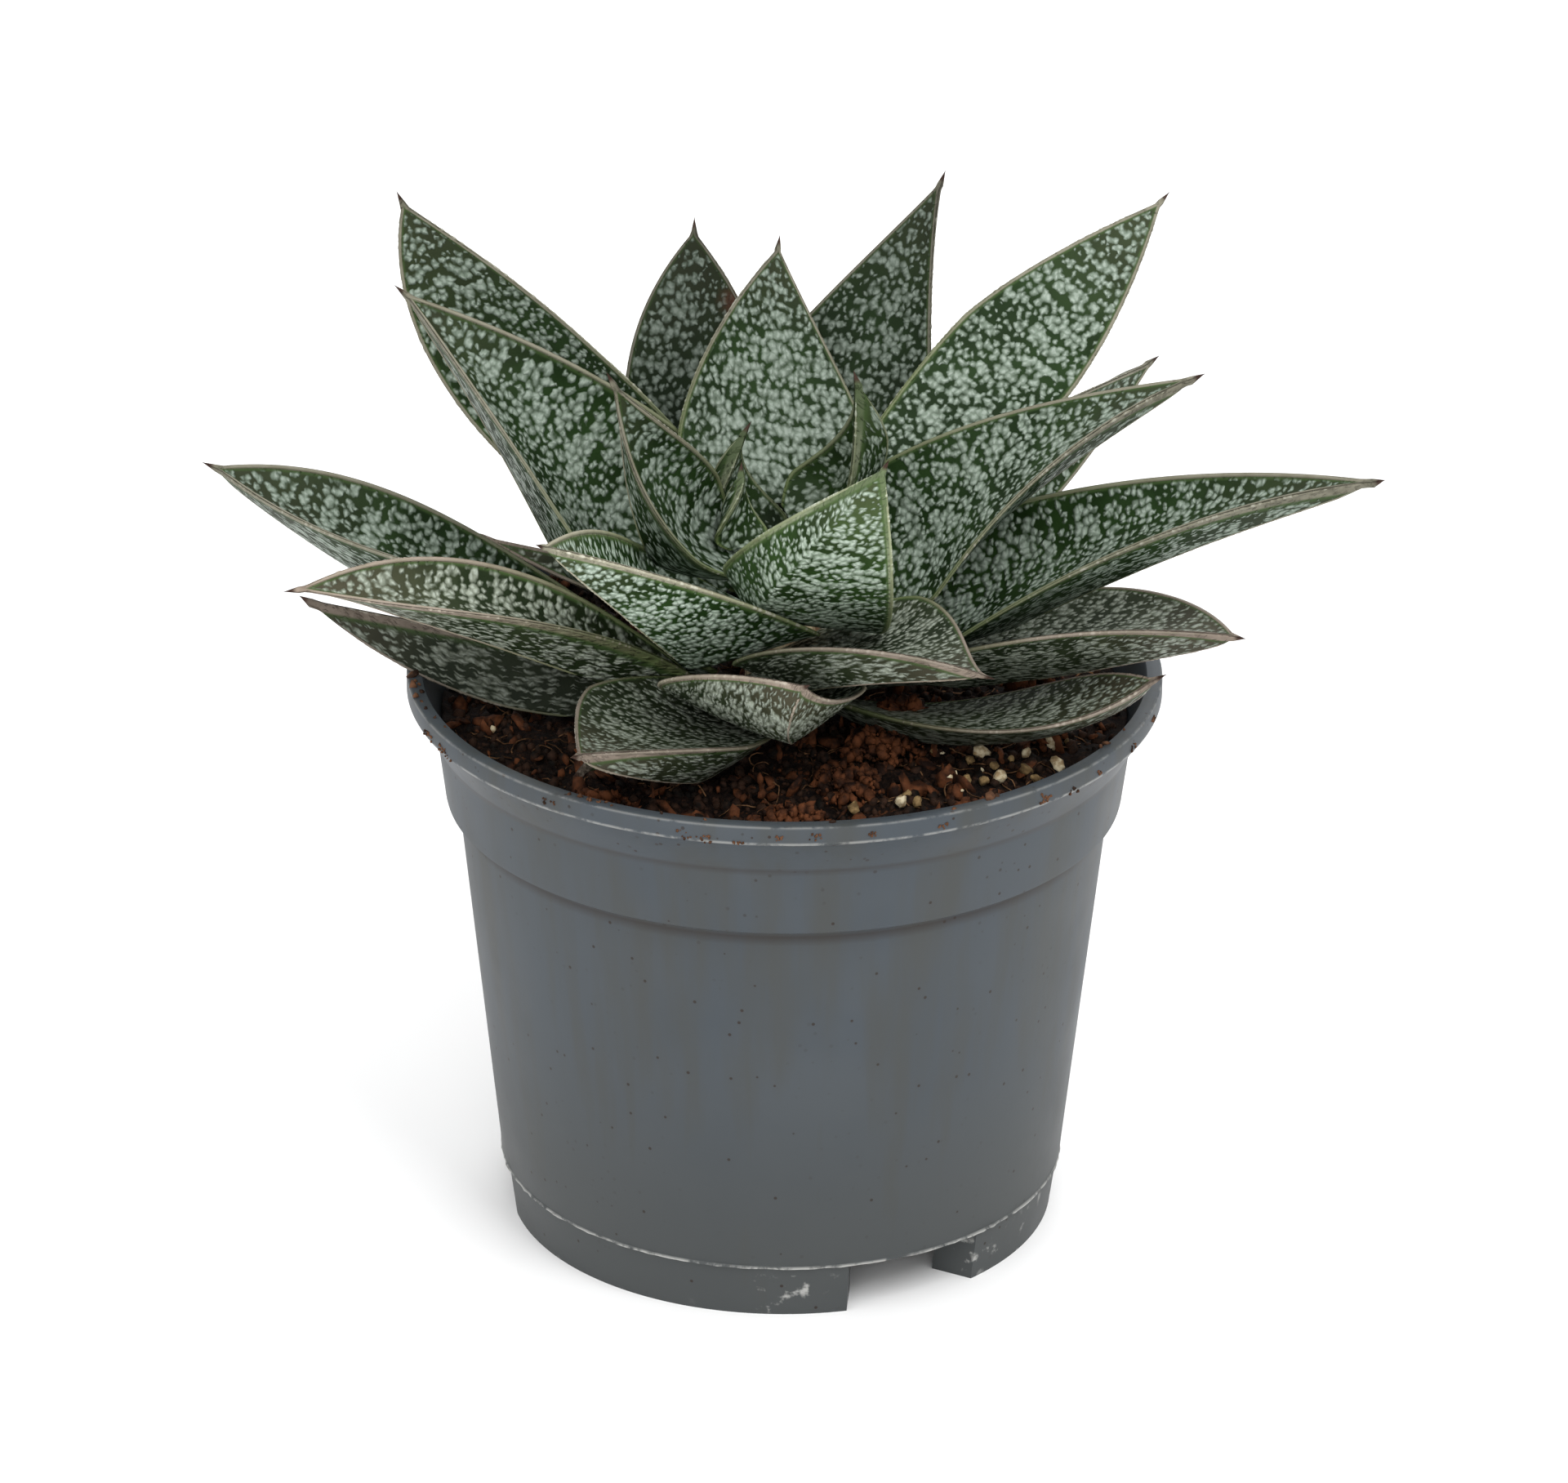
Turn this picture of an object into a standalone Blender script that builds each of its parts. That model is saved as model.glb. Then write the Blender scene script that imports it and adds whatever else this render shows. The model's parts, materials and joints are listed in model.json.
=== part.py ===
"""Potted gasteria: a rosette of thick, keeled leaves on a short stem, in a round nursery pot.

The values below are millimetres and degrees, and the scene is in metres with +Z up. The
pot stands on z = 0 with its axis at x = y = 0. The side seen in the photograph faces -Y.
"""
from dataclasses import dataclass
from math import cos, exp, hypot, pi, radians, sin

import bmesh
import bpy
from mathutils import Vector, noise

MM = 0.001
CLEARANCE = 0.3

# Pot, an injection-moulded nursery pot of 12 cm
POT_HEIGHT = 93.0
LIP_RADIUS = 60.0
LIP_INNER_RADIUS = 57.2
LIP_BAND = 3.0
COLLAR_TOP_Z = 83.6
COLLAR_TOP_RADIUS = 55.3
COLLAR_BOTTOM_Z = 72.0
COLLAR_BOTTOM_RADIUS = 54.0
BODY_TOP_RADIUS = 51.9
BODY_BOTTOM_RADIUS = 45.5
WALL = 1.1
FLOOR_Z = 8.6
FLOOR_THICKNESS = 1.3
POT_SIDES = 48

# Foot ring below the floor, cut into three by notches whose edges turn inward
FOOT_TOP_RADIUS = 45.2
FOOT_BOTTOM_RADIUS = 44.0
FOOT_WALL = 1.6
FOOT_SINK = 0.5
NOTCH_CENTRES = (-61.0, 59.0, 179.0)
NOTCH_HALF_ANGLE = 15.0
NOTCH_RETURN = 7.0
NOTCH_RETURN_LEAN = 18.0
FOOT_ARC_STEPS = 12

# Drainage holes through the floor
DRAIN_COUNT = 6
DRAIN_RADIUS = 4.0
DRAIN_CIRCLE = 30.0
DRAIN_SIDES = 12

# Soil, filling the pot to just under the lip
SOIL_LEVEL = 86.5
SOIL_RELIEF = 0.75
SOIL_GRAIN = 7.0
SOIL_SECTORS = 36
SOIL_RINGS = 9
STEM_HOLE_DEPTH = 12.0
CLUMP_RADIUS_AT = 52.0
CLUMP_AZIMUTH = 131.0
CLUMP_HEIGHT = 6.0
CLUMP_SPREAD = 3.6

# Stem, short and hidden by the leaf bases
STEM_PROFILE = ((6.4, 90.0), (5.8, 98.0), (5.0, 106.0), (4.2, 110.0), (2.6, 112.6))
STEM_TOP_Z = 113.6
STEM_FOOT_RADIUS = 6.4
STEM_SIDES = 20

# Leaf section and outline that every leaf shares
LEAF_STATIONS = 12
LEAF_BASE_WIDTH = 0.42
MARGIN_THICKNESS = 0.7
CHANNEL_START = 0.25
TIP_HALF_WIDTH = 0.4
MUCRO_LENGTH = 2.4

# Flat colours of the leaves by age
LEAF_COLOURS = {
    "young": (0.180, 0.215, 0.150),
    "mature": (0.135, 0.165, 0.120),
    "old": (0.150, 0.140, 0.112),
}


@dataclass
class Leaf:
    """One leaf: where its base sits on the stem, how it runs, and its section."""

    name: str
    tone: str
    azimuth: float
    base_z: float
    base_radius: float
    lift: float
    curl: float
    sweep: float
    length: float
    half_width: float
    roll: float
    twist: float
    channel: float
    thickness: float
    keel_side: float
    tip_power: float
    widest: float


LEAVES = (
    Leaf(
        "leaf_heart_small",
        "young",
        azimuth=-133, base_z=116.5, base_radius=10, lift=85, curl=57, sweep=57,
        length=12, half_width=5, roll=117, twist=-25, channel=0.1,
        thickness=4, keel_side=-0.1, tip_power=1.5, widest=0.2,
    ),
    Leaf(
        "leaf_heart_large",
        "young",
        azimuth=154, base_z=111, base_radius=5, lift=59, curl=51, sweep=43,
        length=21, half_width=7, roll=61, twist=-50, channel=0.1,
        thickness=4.5, keel_side=-0.5, tip_power=1.3, widest=0.2,
    ),
    Leaf(
        "leaf_inner_right",
        "young",
        azimuth=-13, base_z=118.5, base_radius=0.5, lift=40, curl=53, sweep=-7,
        length=27, half_width=6, roll=-69, twist=58, channel=0.5,
        thickness=6.5, keel_side=0, tip_power=1.6, widest=0.2,
    ),
    Leaf(
        "leaf_inner_left",
        "mature",
        azimuth=-138, base_z=113, base_radius=7, lift=45, curl=19, sweep=-36,
        length=42, half_width=8.5, roll=32, twist=62, channel=0.45,
        thickness=7, keel_side=-0.5, tip_power=1.2, widest=0.3,
    ),
    Leaf(
        "leaf_inner_front_right",
        "young",
        azimuth=-83, base_z=108.5, base_radius=12.5, lift=29, curl=27, sweep=21,
        length=63, half_width=13.5, roll=20, twist=34, channel=0.1,
        thickness=5.5, keel_side=0.5, tip_power=1.7, widest=0.2,
    ),
    Leaf(
        "leaf_inner_front_left",
        "mature",
        azimuth=-118, base_z=105, base_radius=6.5, lift=37, curl=-17, sweep=-8,
        length=71, half_width=16.5, roll=11, twist=1, channel=0.65,
        thickness=3.5, keel_side=-0.1, tip_power=1.5, widest=0.2,
    ),
    Leaf(
        "leaf_back_centre",
        "mature",
        azimuth=96, base_z=117.5, base_radius=8.5, lift=45, curl=-5, sweep=-10,
        length=45, half_width=16.5, roll=-10, twist=-28, channel=0.1,
        thickness=5.5, keel_side=0, tip_power=1.5, widest=0.2,
    ),
    Leaf(
        "leaf_back_left_inner",
        "mature",
        azimuth=119, base_z=104, base_radius=8, lift=19, curl=39, sweep=-35,
        length=67, half_width=12.5, roll=42, twist=-25, channel=0.15,
        thickness=6, keel_side=0.3, tip_power=2.4, widest=0.5,
    ),
    Leaf(
        "leaf_back_left_tall",
        "mature",
        azimuth=132, base_z=108, base_radius=8.5, lift=8, curl=60, sweep=51,
        length=85, half_width=12.5, roll=69, twist=26, channel=0.2,
        thickness=6.5, keel_side=0.2, tip_power=2.4, widest=0.45,
    ),
    Leaf(
        "leaf_back_right_tall",
        "mature",
        azimuth=76, base_z=112, base_radius=12.5, lift=40, curl=18, sweep=-40,
        length=61, half_width=16, roll=-17, twist=11, channel=0.1,
        thickness=6, keel_side=0.1, tip_power=1.2, widest=0.3,
    ),
    Leaf(
        "leaf_left_upper",
        "mature",
        azimuth=177, base_z=104.5, base_radius=10, lift=55, curl=-24, sweep=-15,
        length=70, half_width=16, roll=31, twist=2, channel=0.65,
        thickness=7, keel_side=-0.5, tip_power=1.2, widest=0.25,
    ),
    Leaf(
        "leaf_right_tall",
        "mature",
        azimuth=32, base_z=114.5, base_radius=10.5, lift=34, curl=-10, sweep=19,
        length=79, half_width=10.5, roll=-42, twist=1, channel=0.1,
        thickness=5.5, keel_side=0, tip_power=1.5, widest=0.5,
    ),
    Leaf(
        "leaf_right_upper",
        "mature",
        azimuth=-13, base_z=104, base_radius=8, lift=57, curl=-39, sweep=11,
        length=71, half_width=13.5, roll=-55, twist=49, channel=0.25,
        thickness=6.5, keel_side=0.3, tip_power=1.2, widest=0.25,
    ),
    Leaf(
        "leaf_right_behind",
        "mature",
        azimuth=30, base_z=102.5, base_radius=7.5, lift=18, curl=-2, sweep=24,
        length=75, half_width=9, roll=-74, twist=-19, channel=0.15,
        thickness=6, keel_side=-0.1, tip_power=1.5, widest=0.5,
    ),
    Leaf(
        "leaf_rear_centre",
        "mature",
        azimuth=99, base_z=90.5, base_radius=7, lift=13, curl=40, sweep=4,
        length=59, half_width=4.5, roll=37, twist=-43, channel=0.55,
        thickness=5.5, keel_side=0.2, tip_power=1.7, widest=0.4,
    ),
    Leaf(
        "leaf_rear_left",
        "mature",
        azimuth=132, base_z=94, base_radius=6.5, lift=8, curl=22, sweep=-4,
        length=68, half_width=5.5, roll=29, twist=61, channel=0.2,
        thickness=6.5, keel_side=-0.3, tip_power=2.3, widest=0.45,
    ),
    Leaf(
        "leaf_rear_right",
        "mature",
        azimuth=51, base_z=100, base_radius=6, lift=13, curl=12, sweep=9,
        length=55, half_width=5, roll=-33, twist=38, channel=0.2,
        thickness=7, keel_side=0.1, tip_power=2.1, widest=0.25,
    ),
    Leaf(
        "leaf_left_long",
        "mature",
        azimuth=173, base_z=91, base_radius=11.5, lift=29, curl=-15, sweep=1,
        length=85.5, half_width=12.5, roll=-34, twist=52, channel=0.5,
        thickness=6, keel_side=0.1, tip_power=2.1, widest=0.5,
    ),
    Leaf(
        "leaf_right_long",
        "mature",
        azimuth=-14, base_z=98, base_radius=8.5, lift=38, curl=-23, sweep=-22,
        length=101, half_width=12, roll=-40, twist=24, channel=0.45,
        thickness=7, keel_side=0.3, tip_power=1.3, widest=0.2,
    ),
    Leaf(
        "leaf_left_low",
        "old",
        azimuth=-154, base_z=91, base_radius=12.5, lift=47, curl=-50, sweep=-10,
        length=76, half_width=5.5, roll=-9, twist=64, channel=0.6,
        thickness=7, keel_side=-0.3, tip_power=2.4, widest=0.5,
    ),
    Leaf(
        "leaf_front_right",
        "old",
        azimuth=-76, base_z=102, base_radius=10, lift=35, curl=-40, sweep=35,
        length=56, half_width=16.5, roll=-21, twist=45, channel=0.25,
        thickness=4, keel_side=0.5, tip_power=2.1, widest=0.3,
    ),
    Leaf(
        "leaf_right_low",
        "old",
        azimuth=-12, base_z=92, base_radius=10.5, lift=35, curl=-34, sweep=-31,
        length=72, half_width=15.5, roll=4, twist=1, channel=0.25,
        thickness=6, keel_side=0.1, tip_power=1.6, widest=0.5,
    ),
    Leaf(
        "leaf_rear_right_low",
        "old",
        azimuth=44, base_z=92, base_radius=7, lift=3, curl=13, sweep=12,
        length=61, half_width=6.5, roll=29, twist=-17, channel=0.2,
        thickness=5, keel_side=0, tip_power=1.5, widest=0.45,
    ),
    Leaf(
        "leaf_rear_left_low",
        "old",
        azimuth=159, base_z=101, base_radius=6, lift=3, curl=-3, sweep=-22,
        length=52, half_width=3.5, roll=43, twist=2, channel=0.25,
        thickness=5, keel_side=0.1, tip_power=1.3, widest=0.3,
    ),
    Leaf(
        "leaf_front_centre",
        "old",
        azimuth=-102, base_z=97.5, base_radius=10.5, lift=16, curl=9, sweep=37,
        length=51, half_width=16, roll=-24, twist=55, channel=0.3,
        thickness=4.5, keel_side=-0.3, tip_power=1.4, widest=0.5,
    ),
    Leaf(
        "leaf_left_bottom",
        "old",
        azimuth=-173, base_z=89.5, base_radius=12.5, lift=11, curl=-2, sweep=-29,
        length=65, half_width=4.5, roll=-57, twist=-3, channel=0.65,
        thickness=6.5, keel_side=0.2, tip_power=1.7, widest=0.45,
    ),
    Leaf(
        "leaf_front_left",
        "old",
        azimuth=-116, base_z=93, base_radius=12.5, lift=18, curl=-12, sweep=-5,
        length=55, half_width=14.5, roll=12, twist=-10, channel=0.15,
        thickness=6.5, keel_side=-0.5, tip_power=1.4, widest=0.5,
    ),
    Leaf(
        "leaf_right_bottom",
        "old",
        azimuth=-38, base_z=90.5, base_radius=7, lift=3, curl=23, sweep=20,
        length=61, half_width=10.5, roll=27, twist=-43, channel=0.1,
        thickness=4.5, keel_side=0.1, tip_power=2.4, widest=0.5,
    ),
    Leaf(
        "leaf_front_left_old",
        "old",
        azimuth=-142, base_z=89.5, base_radius=7, lift=7, curl=0, sweep=40,
        length=51, half_width=3, roll=-46, twist=-17, channel=0.3,
        thickness=4.5, keel_side=0, tip_power=1.9, widest=0.4,
    ),
)


def clear_scene():
    """Remove every object, so that the file can be run again."""
    for old in list(bpy.data.objects):
        bpy.data.objects.remove(old, do_unlink=True)


def material(name, colour, roughness):
    """A Principled material of one plain colour."""
    made = bpy.data.materials.new(name)
    made.use_nodes = True
    shader = made.node_tree.nodes["Principled BSDF"]
    shader.inputs["Base Color"].default_value = (*colour, 1.0)
    shader.inputs["Roughness"].default_value = roughness
    shader.inputs["Metallic"].default_value = 0.0
    made.diffuse_color = (*colour, 1.0)
    return made


def finish_object(name, bm, skin=None, parent=None):
    """Turn the bmesh into a smooth-shaded object called name."""
    bmesh.ops.recalc_face_normals(bm, faces=bm.faces[:])
    mesh = bpy.data.meshes.new(name)
    bm.to_mesh(mesh)
    bm.free()
    mesh.shade_smooth()
    mesh.set_sharp_from_angle(angle=radians(35))
    if skin:
        mesh.materials.append(skin)
    made = bpy.data.objects.new(name, mesh)
    made.parent = parent
    bpy.context.collection.objects.link(made)
    return made


def turned_bmesh(profile, sides):
    """Spin a profile of (radius, height) points that starts and ends on the Z axis."""
    bm = bmesh.new()
    points = [bm.verts.new((radius * MM, 0, height * MM)) for radius, height in profile]
    line = [bm.edges.new(pair) for pair in zip(points, points[1:])]
    bmesh.ops.spin(
        bm,
        geom=points + line,
        cent=(0, 0, 0),
        axis=(0, 0, 1),
        angle=2 * pi,
        steps=sides,
        use_merge=True,
    )
    bmesh.ops.remove_doubles(bm, verts=bm.verts[:], dist=0.01 * MM)
    return bm


def pot_inner_profile(gap=0.0):
    """Inside of the pot from the lip down to the floor's edge, moved inward by gap."""
    return (
        (LIP_INNER_RADIUS - gap, POT_HEIGHT - 0.5),
        (COLLAR_TOP_RADIUS - WALL - gap, COLLAR_TOP_Z),
        (COLLAR_BOTTOM_RADIUS - WALL - gap, COLLAR_BOTTOM_Z),
        (BODY_TOP_RADIUS - WALL - gap, COLLAR_BOTTOM_Z - WALL),
        (BODY_BOTTOM_RADIUS - WALL - gap, FLOOR_Z + FLOOR_THICKNESS + gap),
    )


def pot_outer_profile():
    """Outside of the pot from the floor's edge up to the lip."""
    return (
        (BODY_BOTTOM_RADIUS - 0.5, FLOOR_Z),
        (BODY_BOTTOM_RADIUS, FLOOR_Z + 1.0),
        (BODY_TOP_RADIUS, COLLAR_BOTTOM_Z - 0.8),
        (COLLAR_BOTTOM_RADIUS, COLLAR_BOTTOM_Z),
        (COLLAR_TOP_RADIUS, COLLAR_TOP_Z),
        (LIP_RADIUS - 0.6, POT_HEIGHT - LIP_BAND - 0.6),
        (LIP_RADIUS, POT_HEIGHT - LIP_BAND),
        (LIP_RADIUS, POT_HEIGHT - 0.6),
        (LIP_RADIUS - 0.6, POT_HEIGHT),
    )


def polar(radius, angle):
    """Point in plan at a radius and an angle in degrees."""
    return Vector((radius * cos(radians(angle)), radius * sin(radians(angle))))


def foot_path(start, end, radius):
    """Middle line of one foot segment in plan, with its two ends turned inward."""
    arc = [
        polar(radius, start + (end - start) * step / FOOT_ARC_STEPS)
        for step in range(FOOT_ARC_STEPS + 1)
    ]
    first = arc[0] + polar(NOTCH_RETURN, start + 180.0 + NOTCH_RETURN_LEAN)
    last = arc[-1] + polar(NOTCH_RETURN, end + 180.0 - NOTCH_RETURN_LEAN)
    return [first] + arc + [last]


def wall_outline(path, thickness):
    """Closed outline in plan of a wall of a given thickness along a path."""
    left, right = [], []
    for here, before, after in zip(path, [path[0]] + path[:-1], path[1:] + [path[-1]]):
        into = (here - before).normalized() if here != before else (after - here).normalized()
        out = (after - here).normalized() if after != here else into
        across = Vector((-(into + out).y, (into + out).x)).normalized()
        reach = thickness / 2 / max(0.5, across.dot(Vector((-into.y, into.x))))
        left.append(here + across * reach)
        right.append(here - across * reach)
    return left + right[::-1]


def foot_segment(number, start, end):
    """One of the ring's three upright walls, as a helper that is united with the pot."""
    bm = bmesh.new()
    middle = FOOT_BOTTOM_RADIUS - FOOT_WALL / 2
    outline = wall_outline(foot_path(start, end, middle), FOOT_WALL)
    face = bm.faces.new([bm.verts.new((*(spot * MM), 0)) for spot in outline])
    grown = bmesh.ops.extrude_face_region(bm, geom=[face])["geom"]
    top = [item for item in grown if isinstance(item, bmesh.types.BMVert)]
    flare = (FOOT_TOP_RADIUS - FOOT_WALL / 2) / middle
    bmesh.ops.scale(bm, verts=top, vec=(flare, flare, 1))
    bmesh.ops.translate(bm, verts=top, vec=(0, 0, (FLOOR_Z + FOOT_SINK) * MM))
    return helper(f"foot_segment_{number}", bm)


def drain_cutter(number):
    """Upright cylinder that cuts one drainage hole."""
    bm = bmesh.new()
    bmesh.ops.create_cone(
        bm,
        cap_ends=True,
        segments=DRAIN_SIDES,
        radius1=DRAIN_RADIUS * MM,
        radius2=DRAIN_RADIUS * MM,
        depth=6 * FLOOR_THICKNESS * MM,
    )
    made = helper(f"drain_cutter_{number}", bm)
    spot = polar(DRAIN_CIRCLE, 360.0 * number / DRAIN_COUNT)
    made.location = (spot.x * MM, spot.y * MM, (FLOOR_Z + FLOOR_THICKNESS / 2) * MM)
    return made


def helper(name, bm):
    """Object that only shapes another, hidden from renders."""
    made = finish_object(name, bm)
    made.hide_render = True
    made.display_type = "WIRE"
    return made


def apply_boolean(target, tool, operation):
    """Add a Boolean with the exact solver."""
    cut = target.modifiers.new(f"{operation.lower()} {tool.name}", "BOOLEAN")
    cut.operation = operation
    cut.object = tool


def make_pot(parent):
    """Pot with its lip, collar, tapering wall, drained floor and notched foot ring."""
    profile = (
        [(0, FLOOR_Z)]
        + list(pot_outer_profile())
        + list(pot_inner_profile())
        + [(0, FLOOR_Z + FLOOR_THICKNESS)]
    )
    skin = material("pot", (0.102, 0.120, 0.133), 0.5)
    pot = finish_object("pot", turned_bmesh(profile, POT_SIDES), skin, parent)
    for number, centre in enumerate(NOTCH_CENTRES):
        start = centre + NOTCH_HALF_ANGLE
        end = NOTCH_CENTRES[(number + 1) % len(NOTCH_CENTRES)] - NOTCH_HALF_ANGLE
        if end < start:
            end += 360.0
        apply_boolean(pot, foot_segment(number, start, end), "UNION")
    for number in range(DRAIN_COUNT):
        apply_boolean(pot, drain_cutter(number), "DIFFERENCE")
    return pot


def soil_height(x, y):
    """Height of the soil surface at a point in plan, all in millimetres."""
    grain = noise.noise(Vector((x / SOIL_GRAIN, y / SOIL_GRAIN, 0)))
    clump = polar(CLUMP_RADIUS_AT, CLUMP_AZIMUTH)
    away = hypot(x - clump.x, y - clump.y) / CLUMP_SPREAD
    relief = max(-SOIL_RELIEF, min(SOIL_RELIEF, 2.2 * SOIL_RELIEF * grain))
    return SOIL_LEVEL + relief + CLUMP_HEIGHT * exp(-away * away / 2)


def make_soil(parent):
    """Soil that fills the pot, with a plain hole for the stem and a lumpy surface."""
    hole = STEM_FOOT_RADIUS + CLEARANCE
    wall = pot_inner_profile(CLEARANCE)
    share = (SOIL_LEVEL - COLLAR_TOP_Z) / (POT_HEIGHT - 0.5 - COLLAR_TOP_Z)
    edge = wall[1][0] + (wall[0][0] - wall[1][0]) * share - 0.4
    rings = [hole + (edge - hole) * step / SOIL_RINGS for step in range(SOIL_RINGS + 1)]
    profile = (
        [(0, FLOOR_Z + FLOOR_THICKNESS + CLEARANCE)]
        + list(wall[:0:-1])
        + [(radius, SOIL_LEVEL) for radius in rings[::-1]]
        + [(hole, SOIL_LEVEL - STEM_HOLE_DEPTH), (0, SOIL_LEVEL - STEM_HOLE_DEPTH)]
    )
    bm = turned_bmesh(profile, SOIL_SECTORS)
    for vert in bm.verts:
        if abs(vert.co.z / MM - SOIL_LEVEL) < 0.01:
            vert.co.z = soil_height(vert.co.x / MM, vert.co.y / MM) * MM
    skin = material("soil", (0.028, 0.019, 0.014), 0.95)
    return finish_object("soil", bm, skin, parent)


def make_stem(parent):
    """Short stem that stands in the soil and carries the leaf bases."""
    foot = SOIL_LEVEL - STEM_HOLE_DEPTH + CLEARANCE
    profile = [(0, foot), (STEM_FOOT_RADIUS, foot)] + list(STEM_PROFILE) + [(0, STEM_TOP_Z)]
    skin = material("stem", (0.36, 0.31, 0.20), 0.7)
    return finish_object("stem", turned_bmesh(profile, STEM_SIDES), skin, parent)


def leaf_half_width(leaf, t):
    """Half width at the fraction t of the leaf's length."""
    if t < leaf.widest:
        share = LEAF_BASE_WIDTH + (1 - LEAF_BASE_WIDTH) * sin(pi / 2 * t / leaf.widest)
    else:
        share = 1 - ((t - leaf.widest) / (1 - leaf.widest)) ** leaf.tip_power
    return max(TIP_HALF_WIDTH, leaf.half_width * share)


def leaf_section(leaf, t):
    """Corners of the section: the channelled face, then the keeled face, as (side, up)."""
    wide = leaf_half_width(leaf, t)
    start = min(1.0, t / CHANNEL_START)
    depth = leaf.channel * wide * start
    body = leaf.thickness * (wide / leaf.half_width) ** 0.5 * (0.65 + 0.35 * start)
    body = min(body, 1.3 * wide + 0.6)
    keel = (leaf.keel_side * wide, -depth - body)
    edge = 0.97 * wide
    flank = (-MARGIN_THICKNESS + keel[1]) * 0.54
    sides = []
    for across in ((keel[0] - edge) * 0.5, (keel[0] + edge) * 0.5):
        above = -depth * (1 - (across / wide) ** 2)
        sides.append((across, min(flank, above - 0.4 * body)))
    left, right = sides
    return (
        (wide, 0),
        (wide * 0.5, -depth * 0.72),
        (0, -depth),
        (-wide * 0.5, -depth * 0.72),
        (-wide, 0),
        (-edge, -MARGIN_THICKNESS),
        left,
        keel,
        right,
        (edge, -MARGIN_THICKNESS),
    )


def leaf_frames(leaf):
    """Centre, side and up vectors at each station, for a leaf that points along +X."""
    step = leaf.length / LEAF_STATIONS
    centre = Vector((leaf.base_radius, 0, 0))
    frames = []
    for number in range(LEAF_STATIONS + 1):
        t = number / LEAF_STATIONS
        rise, turn = radians(leaf.lift + leaf.curl * t), radians(leaf.sweep * t)
        up = Vector((-sin(rise) * cos(turn), -sin(rise) * sin(turn), cos(rise)))
        side = Vector((sin(turn), -cos(turn), 0))
        roll = radians(leaf.roll + leaf.twist * t)
        frames.append(
            (t, centre, side * cos(roll) + up * sin(roll), up * cos(roll) - side * sin(roll))
        )
        middle = t + 0.5 / LEAF_STATIONS
        rise, turn = radians(leaf.lift + leaf.curl * middle), radians(leaf.sweep * middle)
        ahead = Vector((cos(rise) * cos(turn), cos(rise) * sin(turn), sin(rise)))
        centre = centre + ahead * step
    return frames


def ring_points(leaf, frame):
    """Section corners of one station, in metres in the leaf's own space."""
    t, centre, side, up = frame
    return [(centre + side * across + up * rise) * MM for across, rise in leaf_section(leaf, t)]


def make_leaf(leaf, parent, skin):
    """Loft one leaf by extruding its base ring from station to station up to the mucro."""
    bm = bmesh.new()
    corner = bm.verts.layers.int.new("corner")
    frames = leaf_frames(leaf)
    ring = []
    for number, point in enumerate(ring_points(leaf, frames[0])):
        vert = bm.verts.new(point)
        vert[corner] = number
        ring.append(vert)
    base = bm.faces.new(ring)
    edges = list(base.edges)
    for frame in frames[1:]:
        points = ring_points(leaf, frame)
        edges = extrude_ring(bm, edges, lambda vert: points[vert[corner]])
    centre, side, up = frames[-1][1:]
    tip = (centre + side.cross(up) * -MUCRO_LENGTH) * MM
    extrude_ring(bm, edges, lambda vert: tip)
    bmesh.ops.remove_doubles(bm, verts=bm.verts[:], dist=0.001 * MM)
    made = finish_object(leaf.name, bm, skin, parent)
    made.location = (0, 0, leaf.base_z * MM)
    made.rotation_euler = (0, 0, radians(leaf.azimuth))
    return made


def extrude_ring(bm, edges, place):
    """Extrude a ring of edges, move its new corners by place, and return the new edges."""
    grown = bmesh.ops.extrude_edge_only(bm, edges=edges)["geom"]
    new_verts = {item for item in grown if isinstance(item, bmesh.types.BMVert)}
    for vert in new_verts:
        vert.co = place(vert)
    new_edges = [item for item in grown if isinstance(item, bmesh.types.BMEdge)]
    return [edge for edge in new_edges if set(edge.verts) <= new_verts]


def build():
    """Make every piece under one empty."""
    clear_scene()
    plant = bpy.data.objects.new("potted_gasteria", None)
    bpy.context.collection.objects.link(plant)
    make_pot(plant)
    make_soil(plant)
    make_stem(plant)
    for leaf in LEAVES:
        shade = LEAF_COLOURS[leaf.tone]
        make_leaf(leaf, plant, material(f"{leaf.name} skin", shade, 0.45))
    bpy.context.view_layer.update()


build()
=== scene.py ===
"""Looks of a potted gasteria: tubercled leaves, coir potting mix and a slate-grey nursery pot.

The solids of the frame give every size and place. This script dresses them: each leaf is
lofted again with a soft section, toothed margins and a horny tip, the potting mix gets its
crumbs, chips, fibres and perlite, and the pot its lip, steps, parting line and foot.
Lengths below are millimetres unless a name says otherwise, and the scene is in metres.
"""

from __future__ import annotations

import json
import logging
import math
import random
from dataclasses import dataclass, field
from enum import Enum
from typing import Callable, Iterable

import bmesh
import bpy
from mathutils import Euler, Matrix, Vector, noise

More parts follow.
